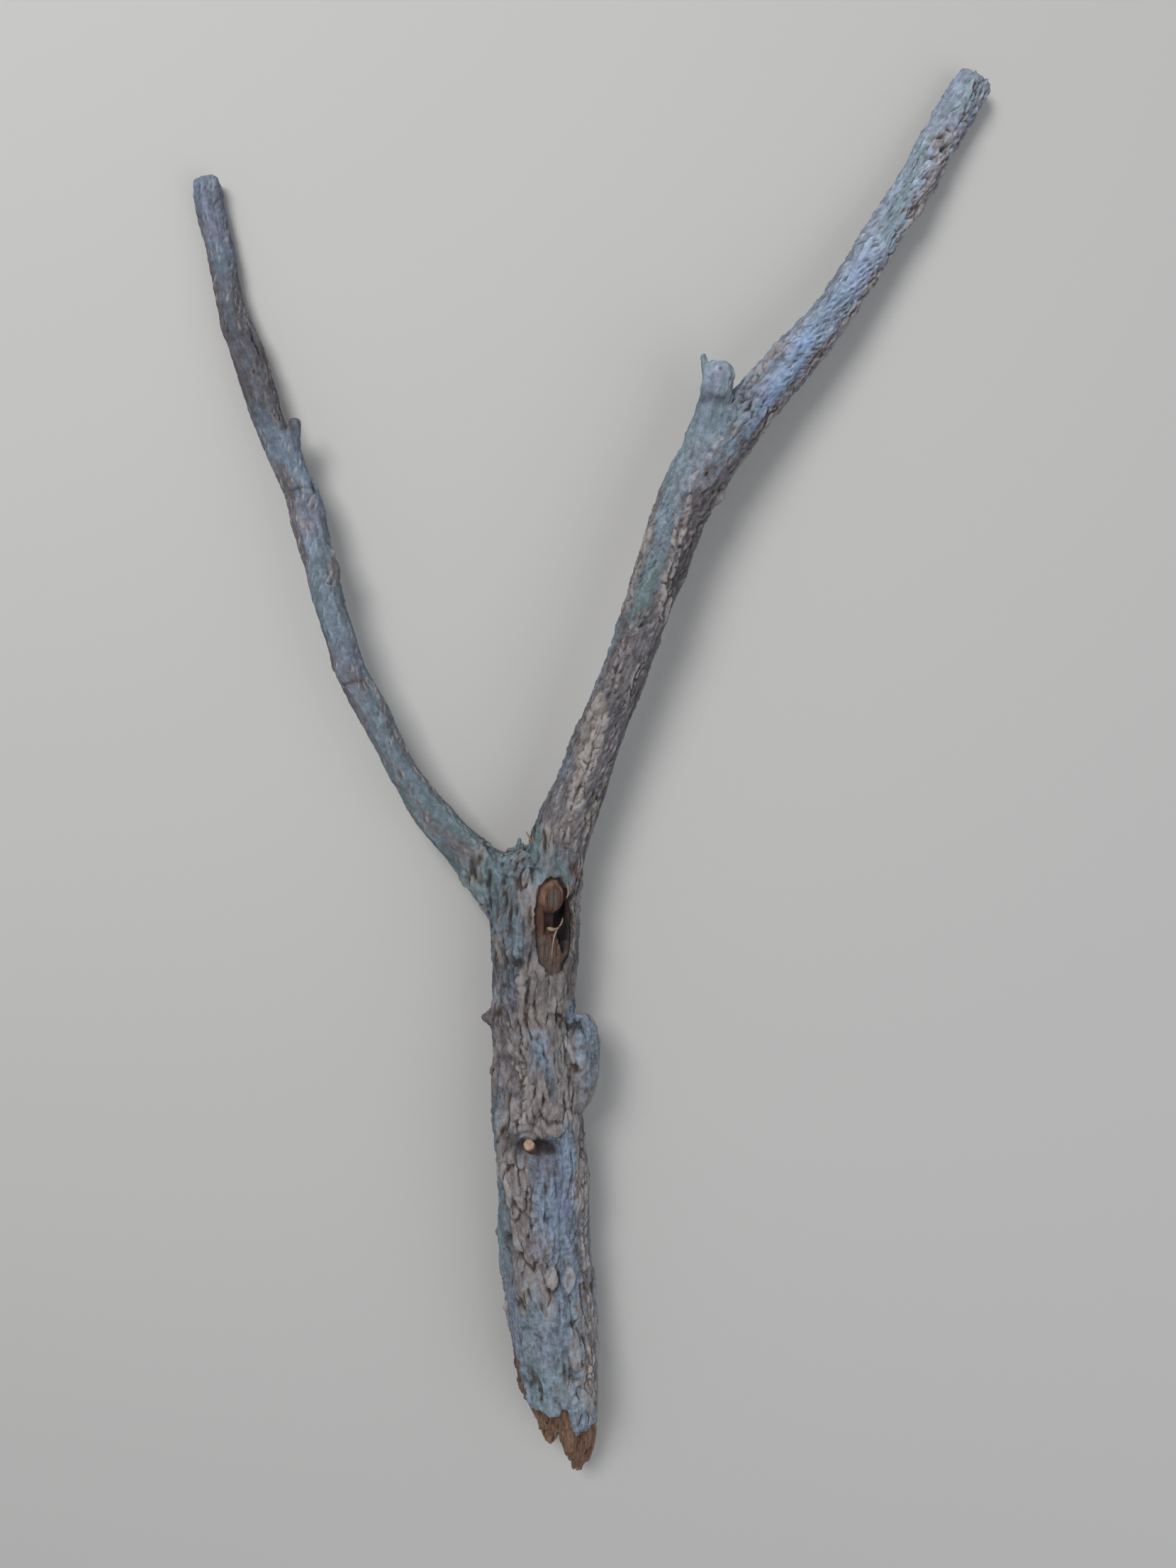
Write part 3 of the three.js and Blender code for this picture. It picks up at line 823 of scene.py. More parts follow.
    # Low places are painted darker and raised ones lighter: painted shade in the hollows, and tops partly
    # worn, partly painted light.
    fields["rub"] = blend(-0.9, 1.3, fields["height"])
    fields["red"] = np.zeros(len(places))
    fields["fine"] = style["fine"] * (1 - 0.25 * upper)
    return fields


# How far each limb's route runs inside the wood that it grows out of, in mm.
BURIED = {"stem": 0, "left": 58, "right": 36, "spur": 14}


def layout(piece):
    """Finds each corner's place on every limb, and how much it belongs to that limb."""
    places = corners_mm(piece)
    found = {}
    gaps = []
    for limb in (stem, left, right, spur):
        along, aside, above, reach, radius = limb.locate(places)
        found[limb.name] = (along, aside, above, radius)
        inside_stem = np.maximum(BURIED[limb.name] - along, 0)
        gaps.append(np.maximum(reach - radius, -1.0) + 0.5 * inside_stem)
    gaps = np.array(gaps)
    shares = np.exp(-(gaps - gaps.min(axis=0)) / 1.8)
    shares /= shares.sum(axis=0)
    return places, found, dict(zip(found, shares))


# A limb's bark is left out where it would have less than this share.
LEAST_SHARE = 0.02


def bark_everywhere(places, found, shares):
    """Blends the bark of the limbs where they join."""
    fields = {}
    for limb in (stem, left, right, spur):
        share = np.where(shares[limb.name] > LEAST_SHARE, shares[limb.name], 0)
        near = share > 0
        along, aside, above, radius = (values[near] for values in found[limb.name])
        local = bark(limb, places[near], along, aside, above, radius)
        for name, values in local.items():
            whole = fields.setdefault(name, np.zeros((len(places),) + values.shape[1:]))
            whole[near] += (share[near] * values.T).T
    total = sum(np.where(s > LEAST_SHARE, s, 0) for s in shares.values())
    fields = {name: (values.T / total).T for name, values in fields.items()}
    owner = np.argmax([shares[limb.name] for limb in (stem, left, right, spur)], axis=0)
    for index, limb in enumerate((stem, left, right, spur)):
        along, aside, above, radius = found[limb.name]
        grain = np.stack([aside, above, along], axis=1)
        fields["grain"] = np.where((owner == index)[:, None], grain, fields["grain"])
    return fields


# The skin's grain and its distance off the CAD solids, in metres, and how many mm of the foot it leaves off.
VOXEL = 0.00045
SKIN_SWELL = 0.0003
FOOT_CUT = 26.0


def make_skin():
    """One closed, fine skin round the whole branch, ready for its bark."""
    copies = [cad_copy(node, "skin_" + node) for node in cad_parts]
    foot = box_mm("main_stem")[0][1] + FOOT_CUT
    cut_off(copies[list(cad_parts).index("main_stem")], (0, foot * MM, 0), (0, -1, 0))
    with editing(*copies):
        bpy.ops.transform.shrink_fatten(value=SKIN_SWELL)
    bpy.ops.object.join()
    skin = bpy.context.object
    apply_modifier(skin, "REMESH", mode="VOXEL", voxel_size=VOXEL)
    apply_modifier(skin, "SMOOTH", factor=0.5, iterations=24)
    return skin


# The foot is torn. The bark ends at these values of Y: points of (share, Y), seen from above.
RIM = [
    (-1, -278),
    (-0.72, -283),
    (0.02, -284),
    (0.1, -279),
    (0.24, -281),
    (0.32, -294),
    (0.55, -299),
    (1, -297),
]
RIM_DROP = 4.2
# At the left edge the outer bark is stripped off below this Y.
STRIPPED_FROM = -238


def tear_foot(fields, places, found):
    """Sinks the skin below the torn edge of the bark, where bare wood takes over."""
    along, aside, above, radius = found["stem"]
    share = aside / np.hypot(aside, above)
    rim = np.interp(share, [point[0] for point in RIM], [point[1] for point in RIM])
    rim = np.where(above > 0, rim, -288 - 9 * share)
    rim += 1.4 * noise(places, 4.0, 301) + 0.7 * noise(places, 1.6, 302)
    below = rim - places[:, 1]
    fields["height"] -= RIM_DROP * blend(-0.1, 1.0, below)
    edge = blend(-1.1, 0.2, below)
    fields["red"] = np.maximum(fields["red"], edge)
    fields["film"] *= 1 - edge
    curl = np.exp(-(((below + 2.6) / 2.2) ** 2)) * (above > 0)
    fields["height"] += 0.8 * curl
    opened = blend(-2, 30, STRIPPED_FROM - places[:, 1])
    edge_of_strip = -0.99 + 0.20 * opened + 0.10 * noise(places, 7, 303) + 0.05 * noise(places, 2.0, 304)
    foot_of_strip = 4.0 - 13.0 * opened + 4.0 * noise(places, 8, 307) + 1.5 * noise(places, 2.6, 308)
    stripped = blend(0.0, 0.05, edge_of_strip - share) * blend(0.0, 1.2, above - foot_of_strip)
    stripped *= blend(0.0, 2.5, STRIPPED_FROM - places[:, 1])
    fields["height"] -= 1.3 * stripped
    fields["red"] = np.maximum(fields["red"], 0.8 * stripped)
    fields["film"] *= 1 - 0.85 * stripped


# The knot wound: where its middle is, how it is turned about Y, and its half width and half length in mm.
KNOT_AT = np.array([-11.2, -43.9, 40.0])
KNOT_TURN = 0.55
KNOT_OUT = np.array([math.sin(KNOT_TURN), 0, math.cos(KNOT_TURN)])
KNOT_ASIDE = np.array([math.cos(KNOT_TURN), 0, -math.sin(KNOT_TURN)])
KNOT_MIDDLE = (-2.3, -1.5)
KNOT_REACH = (9.2, 21.5)
KNOT_SINK = 10.0


def in_knot(places):
    """Places in the knot's own frame: aside, lengthwise, outward, and how near the wound's rim, at 1."""
    offset = places - KNOT_AT
    aside = offset @ KNOT_ASIDE
    lengthwise = offset[:, 1]
    out = offset @ KNOT_OUT
    ragged = 0.07 * noise(places, 5, 311) + 0.045 * noise(places, 2, 312)
    across = (aside - KNOT_MIDDLE[0]) / KNOT_REACH[0]
    down = (lengthwise - KNOT_MIDDLE[1]) / KNOT_REACH[1]
    rim = (np.abs(across) ** 2.4 + np.abs(down) ** 2.4) ** (1 / 2.4)
    return aside, lengthwise, out, rim + ragged


def open_knot(fields, places, raised):
    """Sinks the skin inside the wound, so that the bark ends in a rolled rim round it."""
    aside, lengthwise, out, rim = in_knot(places)
    upper = out > -12
    rolled = np.exp(-(((rim - 1.12) / 0.09) ** 2)) * upper
    inside = (1 - blend(0.95, 1.02, rim)) * upper
    upper_part = blend(-18, -6, lengthwise)
    fields["crack"] = np.maximum(fields["crack"], upper_part * np.exp(-(((rim - 1.0) / 0.04) ** 2)) * upper)
    # Painted shade inside the wound.
    fields["rub"] = fields["rub"] * (1 - 0.4 * inside)
    return raised + (0.7 * rolled - KNOT_SINK * inside)[:, None] * KNOT_OUT


FIELD_NAMES = ("crack", "cork", "film", "tone", "green", "light", "rub", "red", "fine", "grain")

skin = make_skin()
places, found, shares = layout(skin)
fields = bark_everywhere(places, found, shares)
tear_foot(fields, places, found)
raised = places + outward(skin) * fields["height"][:, None]
raised = open_knot(fields, places, raised)
raised[:, 2] = np.maximum(raised[:, 2], 0)
set_corners_mm(skin, raised)
keep_values(skin, **{name: fields[name] for name in FIELD_NAMES})
skin.data.shade_smooth()


# The skin is parted at the same seams as the CAD nodes. Each node but the stem begins with a flat cap.
SEAMS = {"left_limb": left, "right_limb": right, "right_limb_upper": right, "broken_spur": spur}
TRIANGLE_LIMIT = 192000
# The skin is cut round a seam as far as this many times the cap's reach, and this many metres more.
SEAM_REACH = 1.12
SEAM_SPARE = 2.0 * MM


def seam_of(node, limb):
    """The middle, the direction and the reach of the flat cap that a CAD node begins with."""
    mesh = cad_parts[node].data
    caps = {}
    for face in mesh.polygons:
        nearest = np.argmin(((limb.route - np.array(face.center) / MM) ** 2).sum(axis=1))
        if Vector(limb.tangent[nearest]).dot(face.normal) < -0.8:
            key = tuple(round(value, 2) for value in face.normal) + (round(face.center.dot(face.normal), 4),)
            caps.setdefault(key, []).append(face)
    cap = max(caps.values(), key=lambda faces: sum(face.area for face in faces))
    area = sum(face.area for face in cap)
    middle = sum((face.center * face.area for face in cap), Vector()) / area
    reach = max((mesh.vertices[index].co - middle).length for face in cap for index in face.vertices)
    return middle, -cap[0].normal, reach


def near_seam(places, seam, spread=math.inf):
    """Which places, in metres, lie round a seam, no further than `spread` from its plane."""
    middle, direction, reach = seam
    offset = places - np.array(middle)
    beside_it = np.abs(offset @ np.array(direction)) < spread
    return beside_it & (np.linalg.norm(offset, axis=1) < reach * SEAM_REACH + SEAM_SPARE)


def part_at(skin, seam):
    """Cuts the skin round one limb, so that it falls into two loose shells there."""
    near = near_seam(corners_mm(skin) * MM, seam)
    faces = skin.data.polygons
    loops = values_of(skin.data.loops, "vertex_index", kind=np.int32)
    starts = values_of(faces, "loop_start", kind=np.int32)
    chosen = np.logical_and.reduceat(near[loops], starts)
    with editing(skin, select="DESELECT"):
        bpy.ops.mesh.select_mode(type="FACE")
    skin.data.polygons.foreach_set("select", chosen)
    with editing(skin, select=None):
        bpy.ops.mesh.bisect(plane_co=seam[0], plane_no=seam[1])
        bpy.ops.mesh.select_mode(type="EDGE")
        bpy.ops.mesh.edge_split(type="EDGE")


def close_up(shell):
    """Caps the shell's open ends, and thins it out when it has more triangles than TRIANGLE_LIMIT."""
    with editing(shell, select="DESELECT"):
        bpy.ops.mesh.select_mode(type="EDGE")
        bpy.ops.mesh.select_non_manifold(extend=False)
        bpy.ops.mesh.edge_face_add()
        bpy.ops.mesh.faces_shade_flat()
    ends = values_of(shell.data.vertices, "select", kind=bool)
    triangles = sum(face.loop_total - 2 for face in shell.data.polygons)
    if triangles > TRIANGLE_LIMIT:
        free = shell.vertex_groups.new(name="free")
        free.add([int(index) for index in np.flatnonzero(~ends)], 1.0, "REPLACE")
        ratio = TRIANGLE_LIMIT / triangles
        apply_modifier(shell, "DECIMATE", ratio=ratio, vertex_group="free", vertex_group_factor=1000.0)
        shell.vertex_groups.clear()


def facing_at_seams(skin, seams):
    """Remembers which way the whole skin faces near its seams."""
    places = corners_mm(skin) * MM
    near = np.zeros(len(places), bool)
    for seam in seams.values():
        near |= near_seam(places, seam, 1.5 * MM)
    facing = outward(skin)[near]
    tree = KDTree(len(facing))
    for index, place in enumerate(places[near]):
        tree.insert(place, index)
    tree.balance()
    return tree, facing


def shade_as_one(piece, seams, tree, facing):
    """Lets a part's edge face as the whole skin did there, so that no seam shows."""
    places = corners_mm(piece) * MM
    normals = np.zeros((len(places), 3))
    for seam in seams.values():
        for index in np.flatnonzero(near_seam(places, seam, 0.01 * MM)):
            neighbours = [neighbour for spot, neighbour, gap in tree.find_n(places[index], 4)]
            normals[index] = facing[neighbours].sum(axis=0)
    lengths = np.linalg.norm(normals, axis=1)[:, None]
    piece.data.normals_split_custom_set_from_vertices((normals / np.maximum(lengths, 1e-9)).tolist())


def part_skin(skin):
    """Parts the skin into one closed piece for each CAD node."""
    seams = {node: seam_of(node, limb) for node, limb in SEAMS.items()}
    tree, facing = facing_at_seams(skin, seams)
    for seam in seams.values():
        part_at(skin, seam)
    with editing(skin, select=None):
        bpy.ops.mesh.separate(type="LOOSE")
    shells = [shell for shell in bpy.context.selected_objects if len(shell.data.polygons) > 100]
    pieces = {}
    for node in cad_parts:
        corners = np.array(box_mm(node))
        spread = {}
        for shell in shells:
            places = corners_mm(shell)
            spread[shell] = np.abs(np.array([places.min(axis=0), places.max(axis=0)]) - corners).sum()
        pieces[node] = min(spread, key=spread.get)
        pieces[node].name = node + "_bark"
        close_up(pieces[node])
        shade_as_one(pieces[node], seams, tree, facing)
    return pieces


barks = part_skin(skin)

# ---- Bare wood: the torn foot, the knot and the twig's end
# The torn wood reaches up inside the bark to this Y in mm. Its grain is in metres.
WOOD_TOP = -262
WOOD_VOXEL = 0.0004


def make_torn_wood():
    """The splintered wood that stands out of the torn foot."""
    wood = cad_copy("main_stem", "torn_wood")
    cut_off(wood, (0, WOOD_TOP * MM, 0), (0, 1, 0))
    apply_modifier(wood, "REMESH", mode="VOXEL", voxel_size=WOOD_VOXEL)
    apply_modifier(wood, "SMOOTH", factor=0.5, iterations=8)
    places = corners_mm(wood)
    covered = blend(-306, -298, places[:, 1])
    lengthy = places * (1, 0.035, 1)
    coarse = noise(lengthy, 4.2, 321)
    strand = 1 - 2.4 * np.abs(noise(lengthy, 1.9, 322))
    fibre = noise(places * (1, 0.07, 1), 0.85, 323)
    height = 0.75 * coarse + 0.65 * strand + 0.2 * fibre
    height = height - 2.1 * covered - 1.8 * blend(-284, -276, places[:, 1])
    moved = places + outward(wood) * height[:, None]
    flat = places * (1, 0, 1)
    ends = blend(-297, -310, places[:, 1])
    moved[:, 1] += ends * (2.2 * noise(flat, 1.5, 324) + 2.0 * noise(flat, 3.4, 325) + 0.6)
    moved[:, 2] = np.maximum(moved[:, 2], 0.3)
    set_corners_mm(wood, moved)
    # Painted shade between the strands and up under the torn bark.
    deep = 0.8 * blend(0.2, -0.9, strand + 0.6 * coarse) + 0.35 * blend(-296, -284, places[:, 1])
    keep_values(wood, grain=places, tone=0.5 + 0.5 * coarse + 0.2 * fibre, deep=deep)
    wood.data.shade_smooth()
    return wood


# The knot's wood is a sheet of so many squares, between two corners in the knot's own frame.
KNOT_GRID = (56, 128)
KNOT_LOW = (-13.0, -25.0)
KNOT_HIGH = (8.5, 22.5)


def oval(aside, lengthwise, middle, reach, power=2.0):
    """How far each place is from the middle of an oval, with 1 at its edge."""
    across = np.abs((aside - middle[0]) / reach[0]) ** power
    down = np.abs((lengthwise - middle[1]) / reach[1]) ** power
    return (across + down) ** (1 / power)


def knot_depth(aside, lengthwise):
    """How far out the wood of the knot lies at each place, with the masks that its colours follow; the shade
    mask is painted shade.
    """
    flat = np.stack([aside, lengthwise, 0 * aside], axis=1)
    sway = 0.8 * noise(flat, 6, 331) + 0.3 * noise(flat, 2.2, 332)
    lengthy = np.stack([aside + 0.5 * sway, lengthwise * 0.12, 0 * aside], axis=1)
    stub = oval(aside + 0.8 * sway, lengthwise + 0.6 * sway, (-2.6, 12.2), (7.0, 7.9), 2.3)
    shoulder = oval(aside + 0.6 * sway, lengthwise, (-8.0, 1.0), (2.4, 9.5), 2.4)
    cavity = oval(aside + 0.5 * sway, lengthwise, (3.3, -0.8), (3.4, 11.2), 2.6)
    hole = oval(aside + 0.5 * sway, lengthwise, (3.6, -11.5), (2.3, 3.4))
    below = blend(-1.0, -9.0, lengthwise)
    depth = -8.2 + 3.3 * below + 0.5 * sway
    depth += 0.9 * noise(lengthy, 2.6, 333) + 0.35 * noise(lengthy, 1.1, 334)
    depth += below * (0.8 * noise(flat, 2.8, 337) + 0.4 * noise(flat, 1.3, 338))
    dome = (1 - np.clip(stub, 0, 1) ** 4) ** 0.5
    crown = noise(flat * (1, 0.8, 1), 3.0, 335)
    rim = np.exp(-(((stub + 0.08 * crown - 0.76) / 0.15) ** 2)) * blend(9, 16, lengthwise - 0.25 * aside)
    face = 4.4 * dome + 0.8 * rim + 0.3 * sway + 0.45 * noise(lengthy, 1.7, 340) * dome + 0.25 * crown
    wall = (1 - np.clip(shoulder, 0, 1) ** 3) ** 0.5
    depth = np.maximum(depth, -8.2 + face)
    depth = np.maximum(depth, -8.2 + wall * (2.8 + 0.6 * noise(lengthy, 1.8, 339)))
    empty = np.maximum(1 - blend(0.75, 1.05, cavity), 0.7 * (1 - blend(0.6, 1.1, hole)))
    empty *= 1 - blend(0.1, 0.5, dome)
    depth -= 4.2 * empty
    worn = np.clip(1.1 * rim * blend(-0.6, 0.4, crown + 0.8), 0, 1)
    grey = np.maximum(0.9 * below, 0.9 * dome * (1 - blend(0.30, 0.68, stub + 0.15 * crown)))
    # Painted shade: black in the slot, dark in the recess round the stub, and darker on the stub's lower
    # side.
    shade = np.maximum(empty, 0.62 * (1 - below) * (1 - np.maximum(dome, 0.6 * wall)))
    shade = np.maximum(shade, 0.35 * dome * blend(9, 5, lengthwise))
    return depth, worn, shade, grey, noise(lengthy, 2.0, 336)


def make_knot_wood():
    """The worn wood inside the knot wound: a rounded stub end above, a slot painted black with shade, and
    grey wood below.
    """
    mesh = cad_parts["main_stem"].data
    tree = BVHTree.FromPolygons([v.co for v in mesh.vertices], [p.vertices[:] for p in mesh.polygons])
    bpy.ops.mesh.primitive_grid_add(x_subdivisions=KNOT_GRID[0], y_subdivisions=KNOT_GRID[1], size=2)
    wood = bpy.context.object
    wood.name = "knot_wood"
    unit = corners_mm(wood) * MM
    aside = np.interp(unit[:, 0], (-1, 1), (KNOT_LOW[0], KNOT_HIGH[0]))
    lengthwise = np.interp(unit[:, 1], (-1, 1), (KNOT_LOW[1], KNOT_HIGH[1]))
    depth, worn, shade, weathered, mottle = knot_depth(aside, lengthwise)
    flat = KNOT_AT + aside[:, None] * KNOT_ASIDE + lengthwise[:, None] * (0, 1, 0)
    start = 30.0
    solid_depth = []
    for place in flat + start * KNOT_OUT:
        hit = tree.ray_cast(Vector(place * MM), Vector(-KNOT_OUT))
        solid_depth.append(start - hit[3] / MM)
    solid_depth = np.array(solid_depth)
    rim = in_knot(flat - 4.0 * KNOT_OUT)[3]
    outside = blend(0.80, 0.93, rim)
    bark_level = np.minimum(solid_depth, -3.4) - 1.1
    final = depth + outside * (bark_level - depth)
    final = np.where(rim > 0.97, np.minimum(final, solid_depth - 1.4), final)
    # Painted shade along the wound's rim, darker towards its right, carried on in the deep mask.
    shade = np.maximum(shade * (1 - 0.3 * outside), 0.75 * outside * blend(-1, 2, aside))
    set_corners_mm(wood, flat + final[:, None] * KNOT_OUT)
    apply_modifier(wood, "SOLIDIFY", thickness=1.2 * MM, offset=-1.0)
    both_sides = np.arange(len(wood.data.vertices)) % len(aside)
    grain = np.stack([aside, lengthwise, depth], axis=1)
    fields = dict(grain=grain, tone=0.5 + 0.4 * mottle, deep=shade, worn=worn, weathered=weathered)
    keep_values(wood, **{name: values[both_sides] for name, values in fields.items()})
    wood.data.shade_smooth()
    return wood


# The twig's foot, which is inside the stem, and its broken end.
TWIG_BASE = np.array([-25.1, -150.3, 38.3])
TWIG_END = np.array([-26.8, -143.9, 46.2])


def make_twig():
    """The broken end of the twig in its eye-shaped recess."""
    length = np.linalg.norm(TWIG_END - TWIG_BASE)
    bpy.ops.mesh.primitive_cylinder_add(vertices=28, radius=2.5 * MM, depth=length * MM)
    twig = bpy.context.object
    twig.name = "snapped_twig"
    apply_modifier(twig, "BEVEL", width=0.55 * MM, segments=3, limit_method="ANGLE")
    with editing(twig):
        bpy.ops.mesh.quads_convert_to_tris()
        bpy.ops.mesh.subdivide(number_cuts=3)
    local = corners_mm(twig)
    top = blend(length / 2 - 0.7, length / 2, local[:, 2])
    reach = np.hypot(local[:, 0], local[:, 1])
    push = 0.18 * noise(local * (1, 1, 0.3), 1.1, 341) + 0.22 * noise(local, 2.5, 342)
    local[:, :2] *= (1 + 0.08 * noise(local * (1, 1, 0.2), 1.6, 343))[:, None]
    local[:, 2] += top * (push + 0.10 * np.cos(reach * 6) - 0.35 * np.exp(-((reach / 0.5) ** 2)))
    axis = (TWIG_END - TWIG_BASE) / length
    side = np.cross((0, 1, 0), axis)
    side /= np.linalg.norm(side)
    front = np.cross(axis, side)
    middle = (TWIG_BASE + TWIG_END) / 2
    set_corners_mm(twig, middle + local @ np.array([side, front, axis]))
    rings = 0.5 + 0.5 * np.cos(reach * 7) * top
    # Painted shade on the twig's side below its broken end.
    deep = 0.55 * (1 - blend(length / 2 - 2.4, length / 2 - 0.3, local[:, 2]))
    keep_values(twig, grain=local[:, [0, 2, 1]], tone=rings, deep=deep, worn=top)
    twig.data.shade_smooth()
    return twig


# Loose slivers. Each has its points in mm, its half width and half thickness in mm, and how pale it is.
KNOT_SLIVERS = [
    (((1.2, -1.6, -5.4), (-1.8, -5.5, -4.6), (-2.8, -11.0, -4.5), (-2.9, -17.5, -5.0)), 0.42, 0.35, 0.8),
    (((1.0, -2.0, -5.2), (1.8, 0.2, -4.2), (2.2, 2.4, -3.9)), 0.42, 0.3, 1.0),
    (((-4.8, -1.8, -6.0), (-2.0, -2.8, -4.8), (0.9, -2.0, -4.9)), 0.95, 0.4, 0.7),
    (((3.6, 18.4, -3.4), (4.7, 14.6, -3.0), (4.3, 10.8, -4.2)), 0.6, 0.4, 0.9),
]
FOOT_SLIVERS = [
    (((-16, -287, 31), (-15.6, -294, 31), (-15.8, -299.5, 30)), 0.9, 0.5, 0.3),
    (((-6, -298, 26.5), (-6.4, -308, 24.6), (-6.8, -317, 22)), 0.9, 0.5, 0.35),
]
CROTCH_SLIVERS = [
    (((-23.0, -14.0, 25.5), (-25.6, -8.0, 28), (-28.2, -3.0, 29)), 0.6, 0.45, 0.7),
    (((-23.6, -13.0, 26.5), (-24.2, -9.0, 28.5), (-25.2, -5.6, 29.2)), 0.9, 0.5, 1.0),
]
CROTCH_TUFT = [
    (((-32.0, -17.0, 24), (-31.4, -11.0, 27.4), (-30.9, -6.2, 29)), 1.5, 1.2, 0.3),
    (((-30.2, -17.0, 24), (-30.0, -12.0, 27.5), (-29.4, -8.4, 29)), 1.2, 1.0, 0.3),
    (((-33.4, -17.0, 23), (-33.2, -13.0, 26.5), (-32.6, -9.6, 28)), 1.2, 1.0, 0.3),
]
SLIVER_SIDES = 8
SLIVER_RINGS = 14


def make_slivers(name, rows, to_row_frame):
    """One mesh of tapered, slightly bent slivers."""
    corners, faces, pale, grain = [], [], [], []
    for row, (points, half_width, half_thickness, paleness) in enumerate(rows):
        points = to_row_frame(np.array(points, float))
        spots = np.linspace(0, 1, len(points))
        share = np.linspace(0, 1, SLIVER_RINGS)
        bend = np.polyfit(spots, points, min(2, len(points) - 1))
        path = np.stack([np.polyval(bend[:, axis], share) for axis in range(3)], axis=1)
        tangent = np.gradient(path, axis=0)
        tangent /= np.linalg.norm(tangent, axis=1)[:, None]
        side = np.cross(tangent, (0, 0, 1))
        side /= np.linalg.norm(side, axis=1)[:, None]
        over = np.cross(side, tangent)
        base = len(corners)
        for ring in range(SLIVER_RINGS):
            taper = math.sqrt(max(0.02, 1 - (2 * share[ring] - 1) ** 4)) * (1.05 - 0.45 * share[ring])
            taper *= 0.85 + 0.3 * float(chance(ring, row, 0, 351))
            for step in range(SLIVER_SIDES):
                angle = TURN * step / SLIVER_SIDES
                jitter = 0.85 + 0.3 * float(chance(ring // 3, row, step, 352))
                across = half_width * taper * jitter * math.cos(angle)
                up = half_thickness * taper * jitter * math.sin(angle)
                corners.append(path[ring] + across * side[ring] + up * over[ring])
                pale.append(paleness)
                grain.append((across, 30 * share[ring] + 7 * row, up))
        for ring in range(SLIVER_RINGS - 1):
            for step in range(SLIVER_SIDES):
                a = base + ring * SLIVER_SIDES + step
                b = base + ring * SLIVER_SIDES + (step + 1) % SLIVER_SIDES
                faces.append((a, b, b + SLIVER_SIDES, a + SLIVER_SIDES))
        last = base + (SLIVER_RINGS - 1) * SLIVER_SIDES
        faces.append(tuple(range(base + SLIVER_SIDES - 1, base - 1, -1)))
        faces.append(tuple(range(last, last + SLIVER_SIDES)))
    mesh = bpy.data.meshes.new(name)
    mesh.from_pydata([tuple(corner * MM) for corner in corners], [], faces)
    slivers = bpy.data.objects.new(name, mesh)
    bpy.context.collection.objects.link(slivers)
    pale = np.array(pale)
    deep = 0.3 * (1 - pale)
    keep_values(slivers, grain=np.array(grain), tone=0.3 + 0.6 * pale, deep=deep, worn=pale, weathered=0.0)
    slivers.data.shade_smooth()
    return slivers


def knot_to_row(points):
    return KNOT_AT + points[:, :1] * KNOT_ASIDE + points[:, 1:2] * (0, 1, 0) + points[:, 2:] * KNOT_OUT


torn_wood = make_torn_wood()
knot_wood = make_knot_wood()
snapped_twig = make_twig()
knot_slivers = make_slivers("knot_slivers", KNOT_SLIVERS, knot_to_row)
foot_slivers = make_slivers("foot_slivers", FOOT_SLIVERS, lambda points: points)
crotch_slivers = make_slivers("crotch_slivers", CROTCH_SLIVERS, lambda points: points)
crotch_tuft = make_slivers("crotch_tuft", CROTCH_TUFT, lambda points: points)
keep_values(crotch_tuft, film=0.85, green=0.9, light=0.95, rub=0.6, fine=1.0)

# ---- Materials


def paint(red, green, blue):
    """A colour given as on a screen, from 0 to 255, made linear."""
    shares = [value / 255 for value in (red, green, blue)]
    return tuple(v / 12.92 if v <= 0.04045 else ((v + 0.055) / 1.055) ** 2.4 for v in shares) + (1.0,)


def node(tree, kind, sockets=(), **settings):
    """Adds a node. sockets maps an input's name or number to a value, or to the output that feeds it."""
    made = tree.nodes.new(kind)
    for name, value in settings.items():
        setattr(made, name, value)
    for name, value in dict(sockets).items():
        if isinstance(value, bpy.types.NodeSocket):
            tree.links.new(value, made.inputs[name])
        else:
            made.inputs[name].default_value = value
    return made


def reading(tree, name, vector=False):
    found = node(tree, "ShaderNodeAttribute", attribute_name=name)
    return found.outputs["Vector" if vector else "Fac"]


def math_of(tree, operation, *values):
    return node(tree, "ShaderNodeMath", enumerate(values), operation=operation).outputs[0]


def swing(tree, value, amount, onto=0.0):
    """Adds a value's swing about one half, made `amount` times as strong, onto another value."""
    return math_of(tree, "MULTIPLY_ADD", math_of(tree, "SUBTRACT", value, 0.5), amount, onto)


def span(tree, value, low, high, to_low=0.0, to_high=1.0):
    sockets = {"Value": value, "From Min": low, "From Max": high, "To Min": to_low, "To Max": to_high}
    return node(tree, "ShaderNodeMapRange", sockets, interpolation_type="SMOOTHSTEP").outputs[0]


def mix(tree, share, first, second, way="MIX"):
    sockets = {0: share, 6: first, 7: second}
    return node(tree, "ShaderNodeMix", sockets, data_type="RGBA", blend_type=way).outputs[2]


def speckle(tree, vector, scale, detail=3.0, roughness=0.6):
    sockets = {"Vector": vector, "Scale": scale, "Detail": detail, "Roughness": roughness}
    return node(tree, "ShaderNodeTexNoise", sockets).outputs["Fac"]


def scaled(tree, vector, x, y, z):
    return node(tree, "ShaderNodeVectorMath", {0: vector, 1: (x, y, z)}, operation="MULTIPLY").outputs[0]


def grey(tree, value):
    """A number as a shade of grey, for multiplying a colour."""
    return node(tree, "ShaderNodeCombineColor", {0: value, 1: value, 2: value}).outputs[0]


